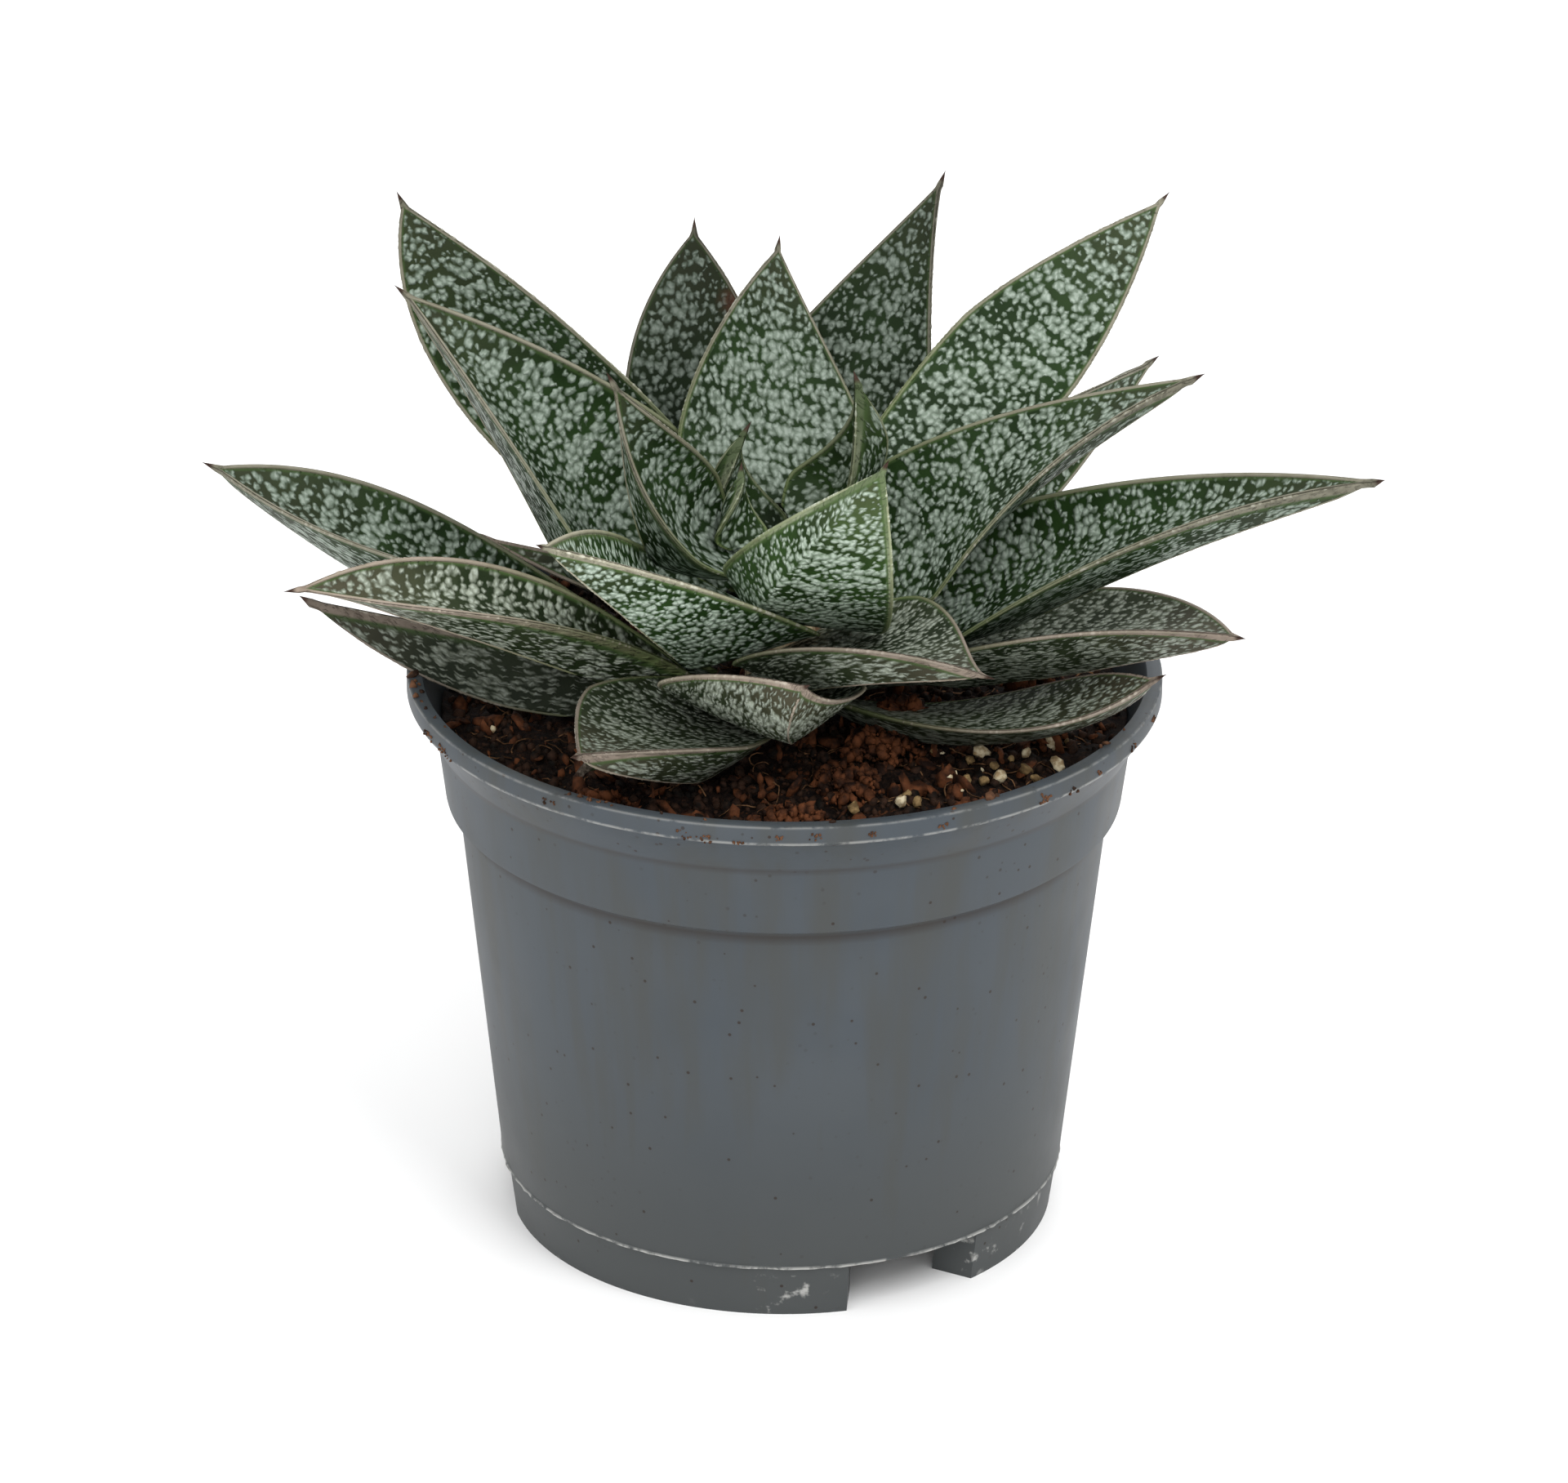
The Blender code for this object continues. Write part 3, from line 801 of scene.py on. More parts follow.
@dataclass
class Margin:
    """Horny bead with small teeth along one margin or along the keel."""

    shape: LeafShape
    # The leaf's painted light and shade, as a factor on the bead's colour
    tone: float
    seed: int
    side: int
    radius: float = 0.33
    pitch: float = 0.26
    sides: int = 6
    tooth: float = 0.13
    start: float = 0.06
    end: float = 0.995
    tooth_length: float = 0.47
    swell_length: float = 5.0
    inset: float = 0.22
    drop: float = 0.33
    keel_sink: float = 0.24

    @property
    def rows(self) -> int:
        """Faces along the bead."""
        return int(self.shape.form.length * (1 - self.start) / self.pitch)

    def along(self, row: int) -> float:
        """Fraction of the leaf's length at a row."""
        return self.start + (self.end - self.start) * row / self.rows

    def bite(self, row: int) -> float:
        """Height of the tooth at a row.

        Args:
            row: Number of the row.

        Returns:
            Height from 0 to 1.
        """
        far = row * self.pitch
        wave = noise.noise(Vector((far / self.tooth_length, self.seed * 7.3, self.side * 3.1)))
        slow = noise.noise(Vector((far / self.swell_length, self.seed * 2.7, self.side * 5.3)))
        return max(0.0, min(1.0, 0.2 + 1.3 * wave + 0.7 * slow))

    def place(self, column: int, row: int) -> Vector:
        """Place a column and row in the scene.

        Args:
            column: Number of the column.
            row: Number of the row.

        Returns:
            The point in metres.
        """
        t = self.along(row)
        wide, channel, body = self.shape.depths(t)
        fade = min(1.0, row / 12 + 0.2, (self.rows - row) / 10 + 0.35)
        size = self.radius * fade * min(1.0, 0.35 + wide / 3)
        angle = 2 * math.pi * column / self.sides
        reach = size + self.tooth * self.bite(row) * fade * max(0.0, math.cos(angle)) ** 2
        if self.side:
            across = self.side * (wide - self.inset + reach * math.cos(angle))
            rise = -self.drop + reach * math.sin(angle)
        else:
            across = self.shape.form.keel_side * wide + reach * math.sin(angle)
            rise = -channel - body + self.keel_sink - reach * math.cos(angle)
        return self.shape.point(t, across, rise)

    def mesh(self) -> bmesh.types.BMesh:
        """Make the bead.

        Returns:
            Closed mesh with its chart and attributes.
        """
        layers = {
            "along": lambda column, row: self.along(row),
            # tone carries the leaf's painted light and shade
            "tone": lambda column, row: self.tone,
            "tooth": lambda column, row: self.bite(row)
            * max(0.0, math.cos(2 * math.pi * column / self.sides)),
        }

        def chart(column: int, row: int, face: int) -> tuple[float, float]:
            """Texture coordinates in centimetres."""
            return column * 0.05, row * self.pitch / 10

        return swept_grid(self.sides, self.rows, self.place, layers, chart)


@dataclass
class Rosette:
    """All leaves, each a blade with two toothed margins and a keel line."""

    forms: tuple[LeafForm, ...]
    skins: dict[Age, LeafSkin]
    horns: dict[Age, HornFinish]
    looks: dict[str, LeafLook]
    offset_step: float = 173.0

    def build(self) -> list[bpy.types.Object]:
        """Make every leaf.

        Returns:
            The pieces, in the order of the forms.
        """
        tubercles = tubercle_group()
        skins = {age: skin.material(tubercles) for age, skin in self.skins.items()}
        horns = {age: horn.material() for age, horn in self.horns.items()}
        return [
            self.leaf(number, form, skins[form.age], horns[form.age])
            for number, form in enumerate(self.forms)
        ]

    def leaf(
        self, number: int, form: LeafForm, skin: bpy.types.Material, horn: bpy.types.Material
    ) -> bpy.types.Object:
        """Make one leaf of a blade and its beads, in one mesh.

        Args:
            number: Place in the list, which seeds the teeth.
            form: Values of the leaf.
            skin: Material of the blade.
            horn: Material of the beads.

        Returns:
            The piece that stands for the leaf's node.
        """
        shape, look = LeafShape(form), self.looks.get(form.name, LeafLook())
        beads = [Margin(shape, look.tone, number, side) for side in (1, -1)]
        if look.keel:
            beads.append(Margin(shape, look.tone, number, 0, radius=0.24, tooth=0.08, start=0.3))
        bm = Blade(shape, look, number * self.offset_step).mesh()
        for bead in beads:
            absorb(bm, bead.mesh(), 1)
        piece = finish_piece(f"fine_{form.name}", bm, skin, horn)
        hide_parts(form.name)
        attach(piece, "root")
        return piece


@dataclass(frozen=True)
class PotFinish:
    """Slate-grey moulded plastic with soil dust, water marks, scuffs near the foot and painted shade in
    its creases.
    """

    name: str = "pot slate plastic"
    base: Colour = (0.047, 0.057, 0.067, 1.0)
    worn: Colour = (0.1, 0.105, 0.106, 1.0)
    stain: Colour = (0.05, 0.052, 0.048, 1.0)
    # Pale of the scuffs and the parting line's flash, and of the painted highlight on the lip's edges
    chalk_and_highlight: Colour = (0.4, 0.4, 0.38, 1.0)
    # Colour of the soil dust specks, and of the painted shade in the creases
    dust_and_shade: Colour = (0.022, 0.014, 0.01, 1.0)
    roughness: float = 0.46
    specular: float = 0.24

    def material(self) -> bpy.types.Material:
        """Build the material.

        Returns:
            The material.
        """
        made, graph = new_material(self.name)
        place = graph.place()
        height = graph.add("SeparateXYZ", {0: place}).outputs["Z"]
        cloud = graph.noise(place, 38.0, 4.0)
        tone = graph.mix(graph.ramp(cloud, 0.3, 0.75, 0.0, 0.18), self.base, self.worn)
        drawn = graph.vector("MULTIPLY", place, (1, 1, 0.06))
        runs = graph.ramp(graph.noise(drawn, 130.0, 4.0), 0.38, 0.7, 0.0, 0.75)
        aged = graph.math("MAXIMUM", runs, graph.ramp(height, 0.055, 0.005, 0.0, 0.65))
        tone = graph.mix(aged, tone, self.stain)
        upper = graph.ramp(height, 0.06, 0.092, 0.25, 1.0)
        patch = graph.ramp(graph.noise(place, 60.0, 2.0), 0.42, 0.62)
        few = self.specks(graph, place, 290.0, 0.06, 0.1)
        many = graph.times(self.specks(graph, place, 420.0, 0.1, 0.16), patch)
        dirt = graph.math("MAXIMUM", few, graph.times(many, upper))
        tone = graph.mix(graph.times(dirt, 0.9), tone, self.dust_and_shade)
        # Painted shade: dark lines in the creases under the collar step and under the lip
        tone = graph.mix(graph.times(graph.attribute("crease_shade"), 0.75), tone, self.dust_and_shade)
        scratch = graph.ramp(graph.noise(place, 380.0), 0.55, 0.7)
        rubbed = graph.times(scratch, graph.ramp(height, 0.009, 0.006))
        scuff = graph.times(rubbed, graph.ramp(graph.noise(place, 75.0, 1.0), 0.56, 0.66))
        tone = graph.mix(graph.times(scuff, 0.8), tone, self.chalk_and_highlight)
        broken = graph.ramp(graph.noise(place, 260.0, 4.0, 0.7), 0.36, 0.56)
        # Pale lines: flash on the parting line, and on the lip's edges wear with a painted highlight
        tone = graph.mix(graph.times(graph.attribute("pale"), broken), tone, self.chalk_and_highlight)
        grain = graph.times(graph.noise(place, 1500.0, 2.0), 0.35)
        rough = self.roughness - 0.05, self.roughness + 0.1
        graph.shade({
            "Base Color": tone,
            "Roughness": graph.ramp(cloud, 0.2, 0.8, *rough),
            "Specular IOR Level": self.specular,
            "Normal": graph.bump(graph.math("ADD", grain, cloud), 0.35, 0.06),
        })
        return made

    def specks(
        self, graph: Graph, place: Socket, scale: float, small: float, large: float
    ) -> Socket:
        """Mask of round specks, full inside a small and ended at a large share of a cell."""
        cells = graph.add("TexVoronoi", {"Vector": place, "Scale": scale, "Randomness": 1.0})
        return graph.ramp(cells.outputs["Distance"], large, small)


def polar(radius: float, angle: float) -> Vector:
    """Point in plan, from its distance from the axis and its degrees from +X."""
    return Vector((radius * math.cos(math.radians(angle)), radius * math.sin(math.radians(angle))))


def spun(profile: Iterable[tuple[float, float]], steps: int, closed: bool) -> bmesh.types.BMesh:
    """Surface of revolution about the axis.

    Args:
        profile: Radius and height of each corner, in millimetres.
        steps: Number of sectors.
        closed: Whether the last corner joins the first.

    Returns:
        The bmesh.
    """
    bm = bmesh.new()
    verts = [bm.verts.new((radius * MM, 0, height * MM)) for radius, height in profile]
    pairs = list(zip(verts, verts[1:])) + ([(verts[-1], verts[0])] if closed else [])
    edges = [bm.edges.new(pair) for pair in pairs]
    bmesh.ops.spin(
        bm,
        geom=verts + edges,
        cent=(0, 0, 0),
        axis=(0, 0, 1),
        angle=2 * math.pi,
        steps=steps,
        use_merge=True,
    )
    bmesh.ops.remove_doubles(bm, verts=bm.verts[:], dist=SEAM * MM)
    return bm


@dataclass
class Pot:
    """Round nursery pot with a lip, a collar, a tapering wall and a notched foot ring."""

    height: float = 93.0
    lip_radius: float = 60.0
    lip_inner: float = 57.2
    lip_band: float = 3.0
    collar_top: tuple[float, float] = (55.3, 83.6)
    collar_bottom: tuple[float, float] = (54.0, 72.0)
    body_top: float = 51.9
    body_bottom: float = 45.5
    wall: float = 1.1
    floor_z: float = 8.6
    floor_thickness: float = 1.3
    foot_top: float = 45.2
    foot_bottom: float = 44.0
    foot_wall: float = 1.6
    parting_pale: float = 0.9
    # Pale on the lip's edges: wear with a painted highlight
    lip_top_wear_and_highlight: float = 0.3
    lip_low_wear_and_highlight: float = 0.45
    # Strength of the painted shade in the creases under the collar step and under the lip
    low_crease_shade: float = 0.8
    high_crease_shade: float = 0.55
    notch_centres: tuple[float, ...] = (-61.0, 59.0, 179.0)
    notch_half_angle: float = 15.0
    notch_return: float = 7.0
    notch_lean: float = 18.0
    drain_count: int = 6
    drain_radius: float = 4.0
    drain_circle: float = 30.0
    drain_sides: int = 32
    floor_sides: int = 120
    foot_steps: int = 48
    sharp_from: float = 38.0
    sectors: int = 240
    finish: PotFinish = field(default_factory=PotFinish)

    def outline(self) -> list[tuple[float, float]]:
        """Wall's closed section, from the floor's edge up outside and down inside.

        Returns:
            Radius and height of each corner in millimetres.
        """
        top, lip = self.height, self.lip_radius
        band = top - self.lip_band
        collar_r, collar_z = self.collar_top
        low_r, low_z = self.collar_bottom
        return [
            (self.body_bottom - 0.5, self.floor_z),
            (self.body_bottom + 0.02, self.floor_z + 0.3),
            (self.body_bottom - 0.05, self.floor_z + 0.75),
            (self.body_bottom + 0.05, self.floor_z + 1.1),
            (self.body_top - 0.17, low_z - 3.2),
            (self.body_top - 0.05, low_z - 1.6),
            (self.body_top + 0.1, low_z - 0.7),
            (low_r - 0.5, low_z - 0.15),
            (low_r - 0.1, low_z + 0.1),
            (low_r + 0.02, low_z + 0.6),
            (collar_r - 0.05, collar_z - 1.2),
            (collar_r + 0.15, collar_z - 0.2),
            (collar_r + 0.8, collar_z + 0.6),
            (lip - 1.0, band - 0.7),
            (lip - 0.4, band - 0.32),
            (lip - 0.15, band - 0.15),
            (lip, band + 0.15),
            (lip, band + 0.42),
            (lip, top - 0.45),
            (lip - 0.12, top - 0.14),
            (lip - 0.45, top),
            (lip - 1.7, top - 0.02),
            (self.lip_inner + 0.35, top - 0.15),
            (self.lip_inner, top - 0.6),
            (collar_r - self.wall, collar_z),
            (low_r - self.wall, low_z),
            (self.body_top - self.wall, low_z - self.wall),
            (self.body_bottom - self.wall, self.floor_z + self.floor_thickness),
        ]

    def build(self) -> bpy.types.Object:
        """Make the pot as one mesh of closed shells.

        Returns:
            The piece that stands for the pot's node.
        """
        bm = spun(self.outline(), self.sectors, True)
        self.mark(bm)
        shells = [self.floor()]
        for number, centre in enumerate(self.notch_centres):
            start = centre + self.notch_half_angle
            end = self.notch_centres[(number + 1) % 3] - self.notch_half_angle
            shells.append(self.foot(start, end if end > start else end + 360))
        for shell in shells:
            absorb(bm, shell)
        piece = finish_piece("fine_pot", bm, self.finish.material())
        piece.data.set_sharp_from_angle(angle=math.radians(self.sharp_from))
        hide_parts("pot")
        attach(piece, "root")
        return piece

    def mark(self, bm: bmesh.types.BMesh) -> None:
        """Mark the wall's pale lines, which on the lip's edges are wear with painted highlight, and its
        creases' painted shade, and make the parting line ragged.

        Args:
            bm: Mesh of the wall.
        """
        pale = bm.verts.layers.float.new("pale")
        crease_shade = bm.verts.layers.float.new("crease_shade")
        for vert in bm.verts:
            radius = math.hypot(vert.co.x, vert.co.y) / MM
            height = vert.co.z / MM
            if abs(height - self.floor_z - 0.3) < 0.1 and radius > self.body_bottom - 0.3:
                angle = math.atan2(vert.co.y, vert.co.x)
                ragged = noise.noise(Vector((math.cos(angle) * 9, math.sin(angle) * 9, 2)))
                fine = noise.noise(Vector((math.cos(angle) * 50, math.sin(angle) * 50, 5)))
                grow = 1 + max(0.0, 0.35 + 0.5 * ragged + 0.5 * fine) * 0.45 / radius
                vert.co.x *= grow
                vert.co.y *= grow
                vert[pale] = self.parting_pale
            # The lip's edges: wear with a painted highlight
            elif radius > self.lip_radius - 0.2 and height > self.height - 0.3:
                vert[pale] = self.lip_top_wear_and_highlight
            elif radius > self.lip_radius - 0.2 and height < self.height - self.lip_band + 0.2:
                vert[pale] = self.lip_low_wear_and_highlight
            # Painted shade in the creases under the collar step and under the lip
            elif abs(height - self.collar_bottom[1] + 1.6) < 0.1 and radius > self.body_top - 0.3:
                vert[crease_shade] = self.low_crease_shade
            elif abs(height - self.collar_top[1] + 0.2) < 0.1 and radius > self.collar_top[0]:
                vert[crease_shade] = self.high_crease_shade

    def floor(self) -> bmesh.types.BMesh:
        """Make the floor with its drainage holes.

        Returns:
            The bmesh.
        """
        bm = bmesh.new()
        rim = self.body_bottom - 0.9
        bmesh.ops.create_circle(bm, cap_ends=False, segments=self.floor_sides, radius=rim * MM)
        for number in range(self.drain_count):
            spot = polar(self.drain_circle, 360.0 * number / self.drain_count)
            bmesh.ops.create_circle(
                bm,
                cap_ends=False,
                segments=self.drain_sides,
                radius=self.drain_radius * MM,
                matrix=Matrix.Translation((spot.x * MM, spot.y * MM, 0)),
            )
        bmesh.ops.triangle_fill(bm, use_beauty=True, edges=bm.edges[:], normal=(0, 0, 1))
        grown = bmesh.ops.extrude_face_region(bm, geom=bm.faces[:])["geom"]
        top = [item for item in grown if isinstance(item, bmesh.types.BMVert)]
        bmesh.ops.translate(bm, verts=top, vec=(0, 0, self.floor_thickness * MM))
        bmesh.ops.translate(bm, verts=bm.verts[:], vec=(0, 0, self.floor_z * MM))
        return bm

    def foot(self, start: float, end: float) -> bmesh.types.BMesh:
        """One of the foot ring's three walls, whose ends turn inward.

        Args:
            start: Angle where it starts.
            end: Angle where it ends.

        Returns:
            The bmesh.
        """
        steps, middle = self.foot_steps, self.foot_bottom
        arc = [polar(middle, start + (end - start) * step / steps) for step in range(steps + 1)]
        first = arc[0] + polar(self.notch_return, start + 180 + self.notch_lean)
        last = arc[-1] + polar(self.notch_return, end + 180 - self.notch_lean)
        path = [first, *arc, last]
        bm = bmesh.new()
        line = [bm.verts.new((*(spot * MM), 0)) for spot in path]
        edges = [bm.edges.new(pair) for pair in zip(line, line[1:])]
        grown = bmesh.ops.extrude_edge_only(bm, edges=edges)["geom"]
        top = [item for item in grown if isinstance(item, bmesh.types.BMVert)]
        flare = self.foot_top / middle
        bmesh.ops.scale(bm, verts=top, vec=(flare, flare, 1))
        bmesh.ops.translate(bm, verts=top, vec=(0, 0, (self.floor_z + 0.4) * MM))
        bmesh.ops.recalc_face_normals(bm, faces=bm.faces[:])
        bmesh.ops.solidify(bm, geom=bm.faces[:], thickness=self.foot_wall * MM)
        return bm


@dataclass(frozen=True)
class SoilFinish:
    """Dark wet potting mix, rust-brown coir and matt white perlite."""

    black: Colour = (0.003, 0.002, 0.002, 1)
    peat: Colour = (0.02, 0.01, 0.006, 1)
    rust: Colour = (0.1, 0.035, 0.013, 1)

    def ground(self) -> bpy.types.Material:
        """Build the material of the mix's surface.

        Returns:
            The material.
        """
        made, graph = new_material("soil dark peat")
        place = graph.place()
        broad = graph.ramp(graph.noise(place, 160.0, 4.0), 0.45, 0.62)
        fine = graph.noise(place, 900.0, 4.0, 0.7)
        dark = graph.mix(graph.ramp(fine, 0.35, 0.7), self.black, self.peat)
        rust = graph.times(graph.times(graph.ramp(fine, 0.56, 0.66), broad), 0.75)
        graph.shade({
            "Base Color": graph.mix(rust, dark, self.rust),
            "Roughness": 0.85,
            "Specular IOR Level": 0.12,
            "Normal": graph.bump(fine, 0.9, 0.5),
        })
        return made

    def loose(self, piece: str) -> bpy.types.Material:
        """Material of a piece of loose bits.

        Args:
            piece: Name of the piece.

        Returns:
            The material.
        """
        name, dark, light, scale = LOOSE_TONES[piece]
        made, graph = new_material(name)
        place = graph.place()
        mottled = graph.ramp(graph.noise(place, scale), 0.35, 0.65)
        graph.shade({
            "Base Color": graph.mix(mottled, (*dark, 1), (*light, 1)),
            "Roughness": 0.8,
            "Specular IOR Level": 0.15,
            "Normal": graph.bump(graph.noise(place, 1600.0), 0.6, 0.2),
        })
        return made


@dataclass
class Soil:
    """Potting mix: lumpy surface, crumbs, coir chips, fibres, perlite and stray bits."""

    heaps: tuple[tuple[float, float, float, float, float, int], ...]
    perlite: tuple[Triple, ...]
    grit: tuple[Triple, ...]
    stray: tuple[Triple, ...]
    smears: tuple[Triple, ...]
    level: float = 86.5
    relief: float = 0.75
    grain: float = 7.0
    clump_at: tuple[float, float] = (52.0, 131.0)
    clump_height: float = 6.0
    clump_spread: float = 3.6
    stem_hole: float = 6.7
    edge_radius: float = 54.5
    open_from: float = 10.0
    bottom_z: float = 10.2
    rim_z: float = 92.9
    lip_radius: float = 60.05
    rings: int = 96
    sectors: int = 300
    crumbs: int = 2600
    chips: int = 950
    fibres: int = 260
    fibre_steps: int = 7
    smear_bits: int = 9
    lump_size: float = 1.9
    lump_height: float = 0.55
    grit_size: float = 0.8
    grit_height: float = 0.3
    sunk: float = 0.45
    patch_size: float = 9.0
    seed: int = 41
    finish: SoilFinish = field(default_factory=SoilFinish)
    rng: random.Random = field(init=False)
    bm: bmesh.types.BMesh = field(init=False)

    def height(self, x: float, y: float) -> float:
        """Height of the solid's surface.

        Args:
            x: First place in plan.
            y: Second place in plan.

        Returns:
            Height in millimetres.
        """
        swell = noise.noise(Vector((x / self.grain, y / self.grain, 0)))
        clump = polar(*self.clump_at)
        away = math.hypot(x - clump.x, y - clump.y) / self.clump_spread
        relief = max(-self.relief, min(self.relief, 2.2 * self.relief * swell))
        return self.level + relief + self.clump_height * math.exp(-away * away / 2)

    def surface(self, x: float, y: float) -> float:
        """Height of the fine surface.

        Args:
            x: First place in plan.
            y: Second place in plan.

        Returns:
            Height in millimetres.
        """
        lumps = noise.noise(Vector((x / self.lump_size, y / self.lump_size, 3))) * self.lump_height
        grit = noise.noise(Vector((x / self.grit_size, y / self.grit_size, 9))) * self.grit_height
        return self.height(x, y) - self.sunk + lumps + grit

    def build(self) -> list[bpy.types.Object]:
        """Make the mix and what lies in it.

        Returns:
            The pieces; the first one stands for the soil's node.
        """
        self.rng = random.Random(self.seed)
        ground = self.ground()
        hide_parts("soil")
        pieces = [ground]
        for name, fill in {
            "soil_crumbs": self.scatter_crumbs,
            "soil_coir_chips": self.scatter_chips,
            "soil_coir_fibres": self.scatter_fibres,
            "soil_perlite": lambda: self.scatter_grains(self.perlite),
            "soil_grit": lambda: self.scatter_grains(self.grit),
            "soil_stray_bits": self.scatter_stray,
        }.items():
            self.bm = bmesh.new()
            fill()
            pieces.append(finish_piece(name, self.bm, self.finish.loose(name)))
        for piece in pieces:
            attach(piece, "root")
        return pieces

    def ground(self) -> bpy.types.Object:
        """Make the body of the mix with its lumpy surface.

        Returns:
            The piece.
        """
        step = (self.edge_radius - self.stem_hole) / self.rings
        top = [(self.edge_radius - step * ring, self.level) for ring in range(self.rings + 1)]
        wall = [(44.1, self.bottom_z), (50.5, 70.9), (52.6, 72.0), (53.9, 83.6)]
        well = [(self.stem_hole, self.level - 12), (0.0, self.level - 12)]
        bm = spun([(0.0, self.bottom_z), *wall, *top, *well], self.sectors, False)
        for vert in bm.verts:
            if abs(vert.co.z / MM - self.level) < 0.01:
                vert.co.z = self.surface(vert.co.x / MM, vert.co.y / MM) * MM
        return finish_piece("fine_soil", bm, self.finish.ground())

    def spot(self) -> tuple[float, float]:
        """Pick a random point of the open ring of soil.

        Returns:
            The point in plan.
        """
        reach = self.edge_radius - 1.2
        far = math.sqrt(self.rng.uniform(self.open_from**2, reach**2))
        angle = self.rng.uniform(0, 2 * math.pi)
        return far * math.cos(angle), far * math.sin(angle)

    def lump(self, at: Triple, sizes: Triple, rough: float = 0.25, level: int = 1) -> None:
        """Add one irregular lump.

        Args:
            at: Centre in millimetres.
            sizes: Half sizes in millimetres.
            rough: Share by which corners move in and out.
            level: Fineness.
        """
        made = bmesh.ops.create_icosphere(self.bm, subdivisions=level, radius=MM)["verts"]
        turn = Euler([self.rng.uniform(0, 2 * math.pi) for _ in range(3)]).to_matrix()
        for vert in made:
            size = 1 + self.rng.uniform(-rough, rough)
            spot = Vector(vert.co[axis] * sizes[axis] * size for axis in range(3))
            vert.co = turn @ spot + Vector(at) * MM

    def scatter_crumbs(self) -> None:
        """Add dark crumbs all over the surface."""
        for _ in range(self.crumbs):
            x, y = self.spot()
            size = self.rng.choice((0.35, 0.5, 0.65, 0.9, 1.3))
            sizes = (size, size * self.rng.uniform(0.6, 1), size * self.rng.uniform(0.5, 0.9))
            self.lump((x, y, self.surface(x, y) + size * 0.15), sizes)

    def scatter_chips(self) -> None:
        """Add rust-brown chips of coir, short and blocky, in patches and in heaps."""
        for _ in range(self.chips):
            x, y = self.spot()
            patch = noise.noise(Vector((x / self.patch_size, y / self.patch_size, 21)))
            if patch < self.rng.uniform(-0.5, 0.25):
                continue
            long = self.rng.choice((0.5, 0.7, 1.0, 1.4, 2.1, 3.0))
            sizes = (long, long * self.rng.uniform(0.3, 0.7), self.rng.uniform(0.3, 0.8))
            rise = 0.15 + max(0.0, patch) * self.rng.uniform(0.0, 3.0)
            self.lump((x, y, self.surface(x, y) + rise), sizes, 0.4)
        for x, y, top, wide, deep, bits in self.heaps:
            for _ in range(bits):
                far, angle = self.rng.uniform(0, 1) ** 0.6, self.rng.uniform(0, 2 * math.pi)
                size = self.rng.choice((0.3, 0.4, 0.55, 0.8, 1.3))
                fall = (top - self.level - 1.0) * far * far + 3.0 * self.rng.uniform(0, 1) ** 2
                at = (x + wide * far * math.cos(angle), y + deep * far * math.sin(angle), top - fall)
                if math.hypot(at[0], at[1]) <= self.edge_radius - 0.6:
                    self.lump(at, (size, size * 0.7, size * 0.6), 0.4)

    def scatter_fibres(self) -> None:
        """Add thin bent coir fibres."""
        for _ in range(self.fibres):
            at = self.spot()
            length, head = self.rng.uniform(3, 9), self.rng.uniform(0, 2 * math.pi)
            self.fibre(at, length, head)

    def fibre(self, at: tuple[float, float], length: float, head: float) -> None:
        """Add one fibre as an extruded three-sided tube.

        Args:
            at: Start in plan, in millimetres.
            length: Its length in millimetres.
            head: Its first direction in radians.
        """
        steps, radius = self.fibre_steps, self.rng.uniform(0.09, 0.16)
        face = bmesh.ops.create_circle(
            self.bm, cap_ends=True, segments=3, radius=radius * MM
        )["verts"][0].link_faces[0]
        x, y, bend = at[0], at[1], self.rng.uniform(-0.35, 0.35)
        lift = self.rng.uniform(0.1, 0.9)
        back = Matrix.Identity(4)
        for step in range(steps + 1):
            z = self.surface(x, y) + 0.12 + lift * math.sin(math.pi * step / steps)
            frame = Matrix.Translation(Vector((x, y, z)) * MM) @ Matrix.Rotation(head, 4, "Z")
            frame = frame @ Matrix.Rotation(math.pi / 2, 4, "Y")
            if step:
                grown = bmesh.ops.extrude_face_region(self.bm, geom=[face])["geom"]
                face = next(item for item in grown if isinstance(item, bmesh.types.BMFace))
            for vert in face.verts:
                vert.co = frame @ (back @ vert.co)
            back = frame.inverted()
            head += bend + self.rng.uniform(-0.2, 0.2)
            x += length / steps * math.cos(head)
            y += length / steps * math.sin(head)
            inside = min(1.0, (self.edge_radius - 0.8) / math.hypot(x, y))
            x, y = x * inside, y * inside

    def scatter_grains(self, places: tuple[Triple, ...]) -> None:
        """Add grains that lie half sunk in the mix.

        Args:
            places: Place in plan and half size of each grain.
        """
        for x, y, size in places:
            sizes = (size, size * self.rng.uniform(0.6, 0.9), size * 0.75)
            self.lump((x, y, self.surface(x, y) + size * 0.65 + 0.5), sizes, 0.3, 2)

    def scatter_stray(self) -> None:
        """Add the bits of soil that lie on the pot's rim and stick to its lip."""
        for x, y, size in self.stray:
            at, sizes = (x, y, self.rim_z + size * 0.15), (size, size * 0.7, size * 0.45)
            self.lump(at, sizes, 0.3)
        for angle, z, size in self.smears:
            for _ in range(self.smear_bits):
                spot = polar(self.lip_radius, angle + self.rng.uniform(-1.0, 1.0) * size * 1.6)
                bit = self.rng.uniform(0.12, 0.3)
                at = (spot.x, spot.y, z + self.rng.uniform(-0.9, 0.9) * min(size, 0.8))
                self.lump(at, (bit, bit, bit * 0.8), 0.3)


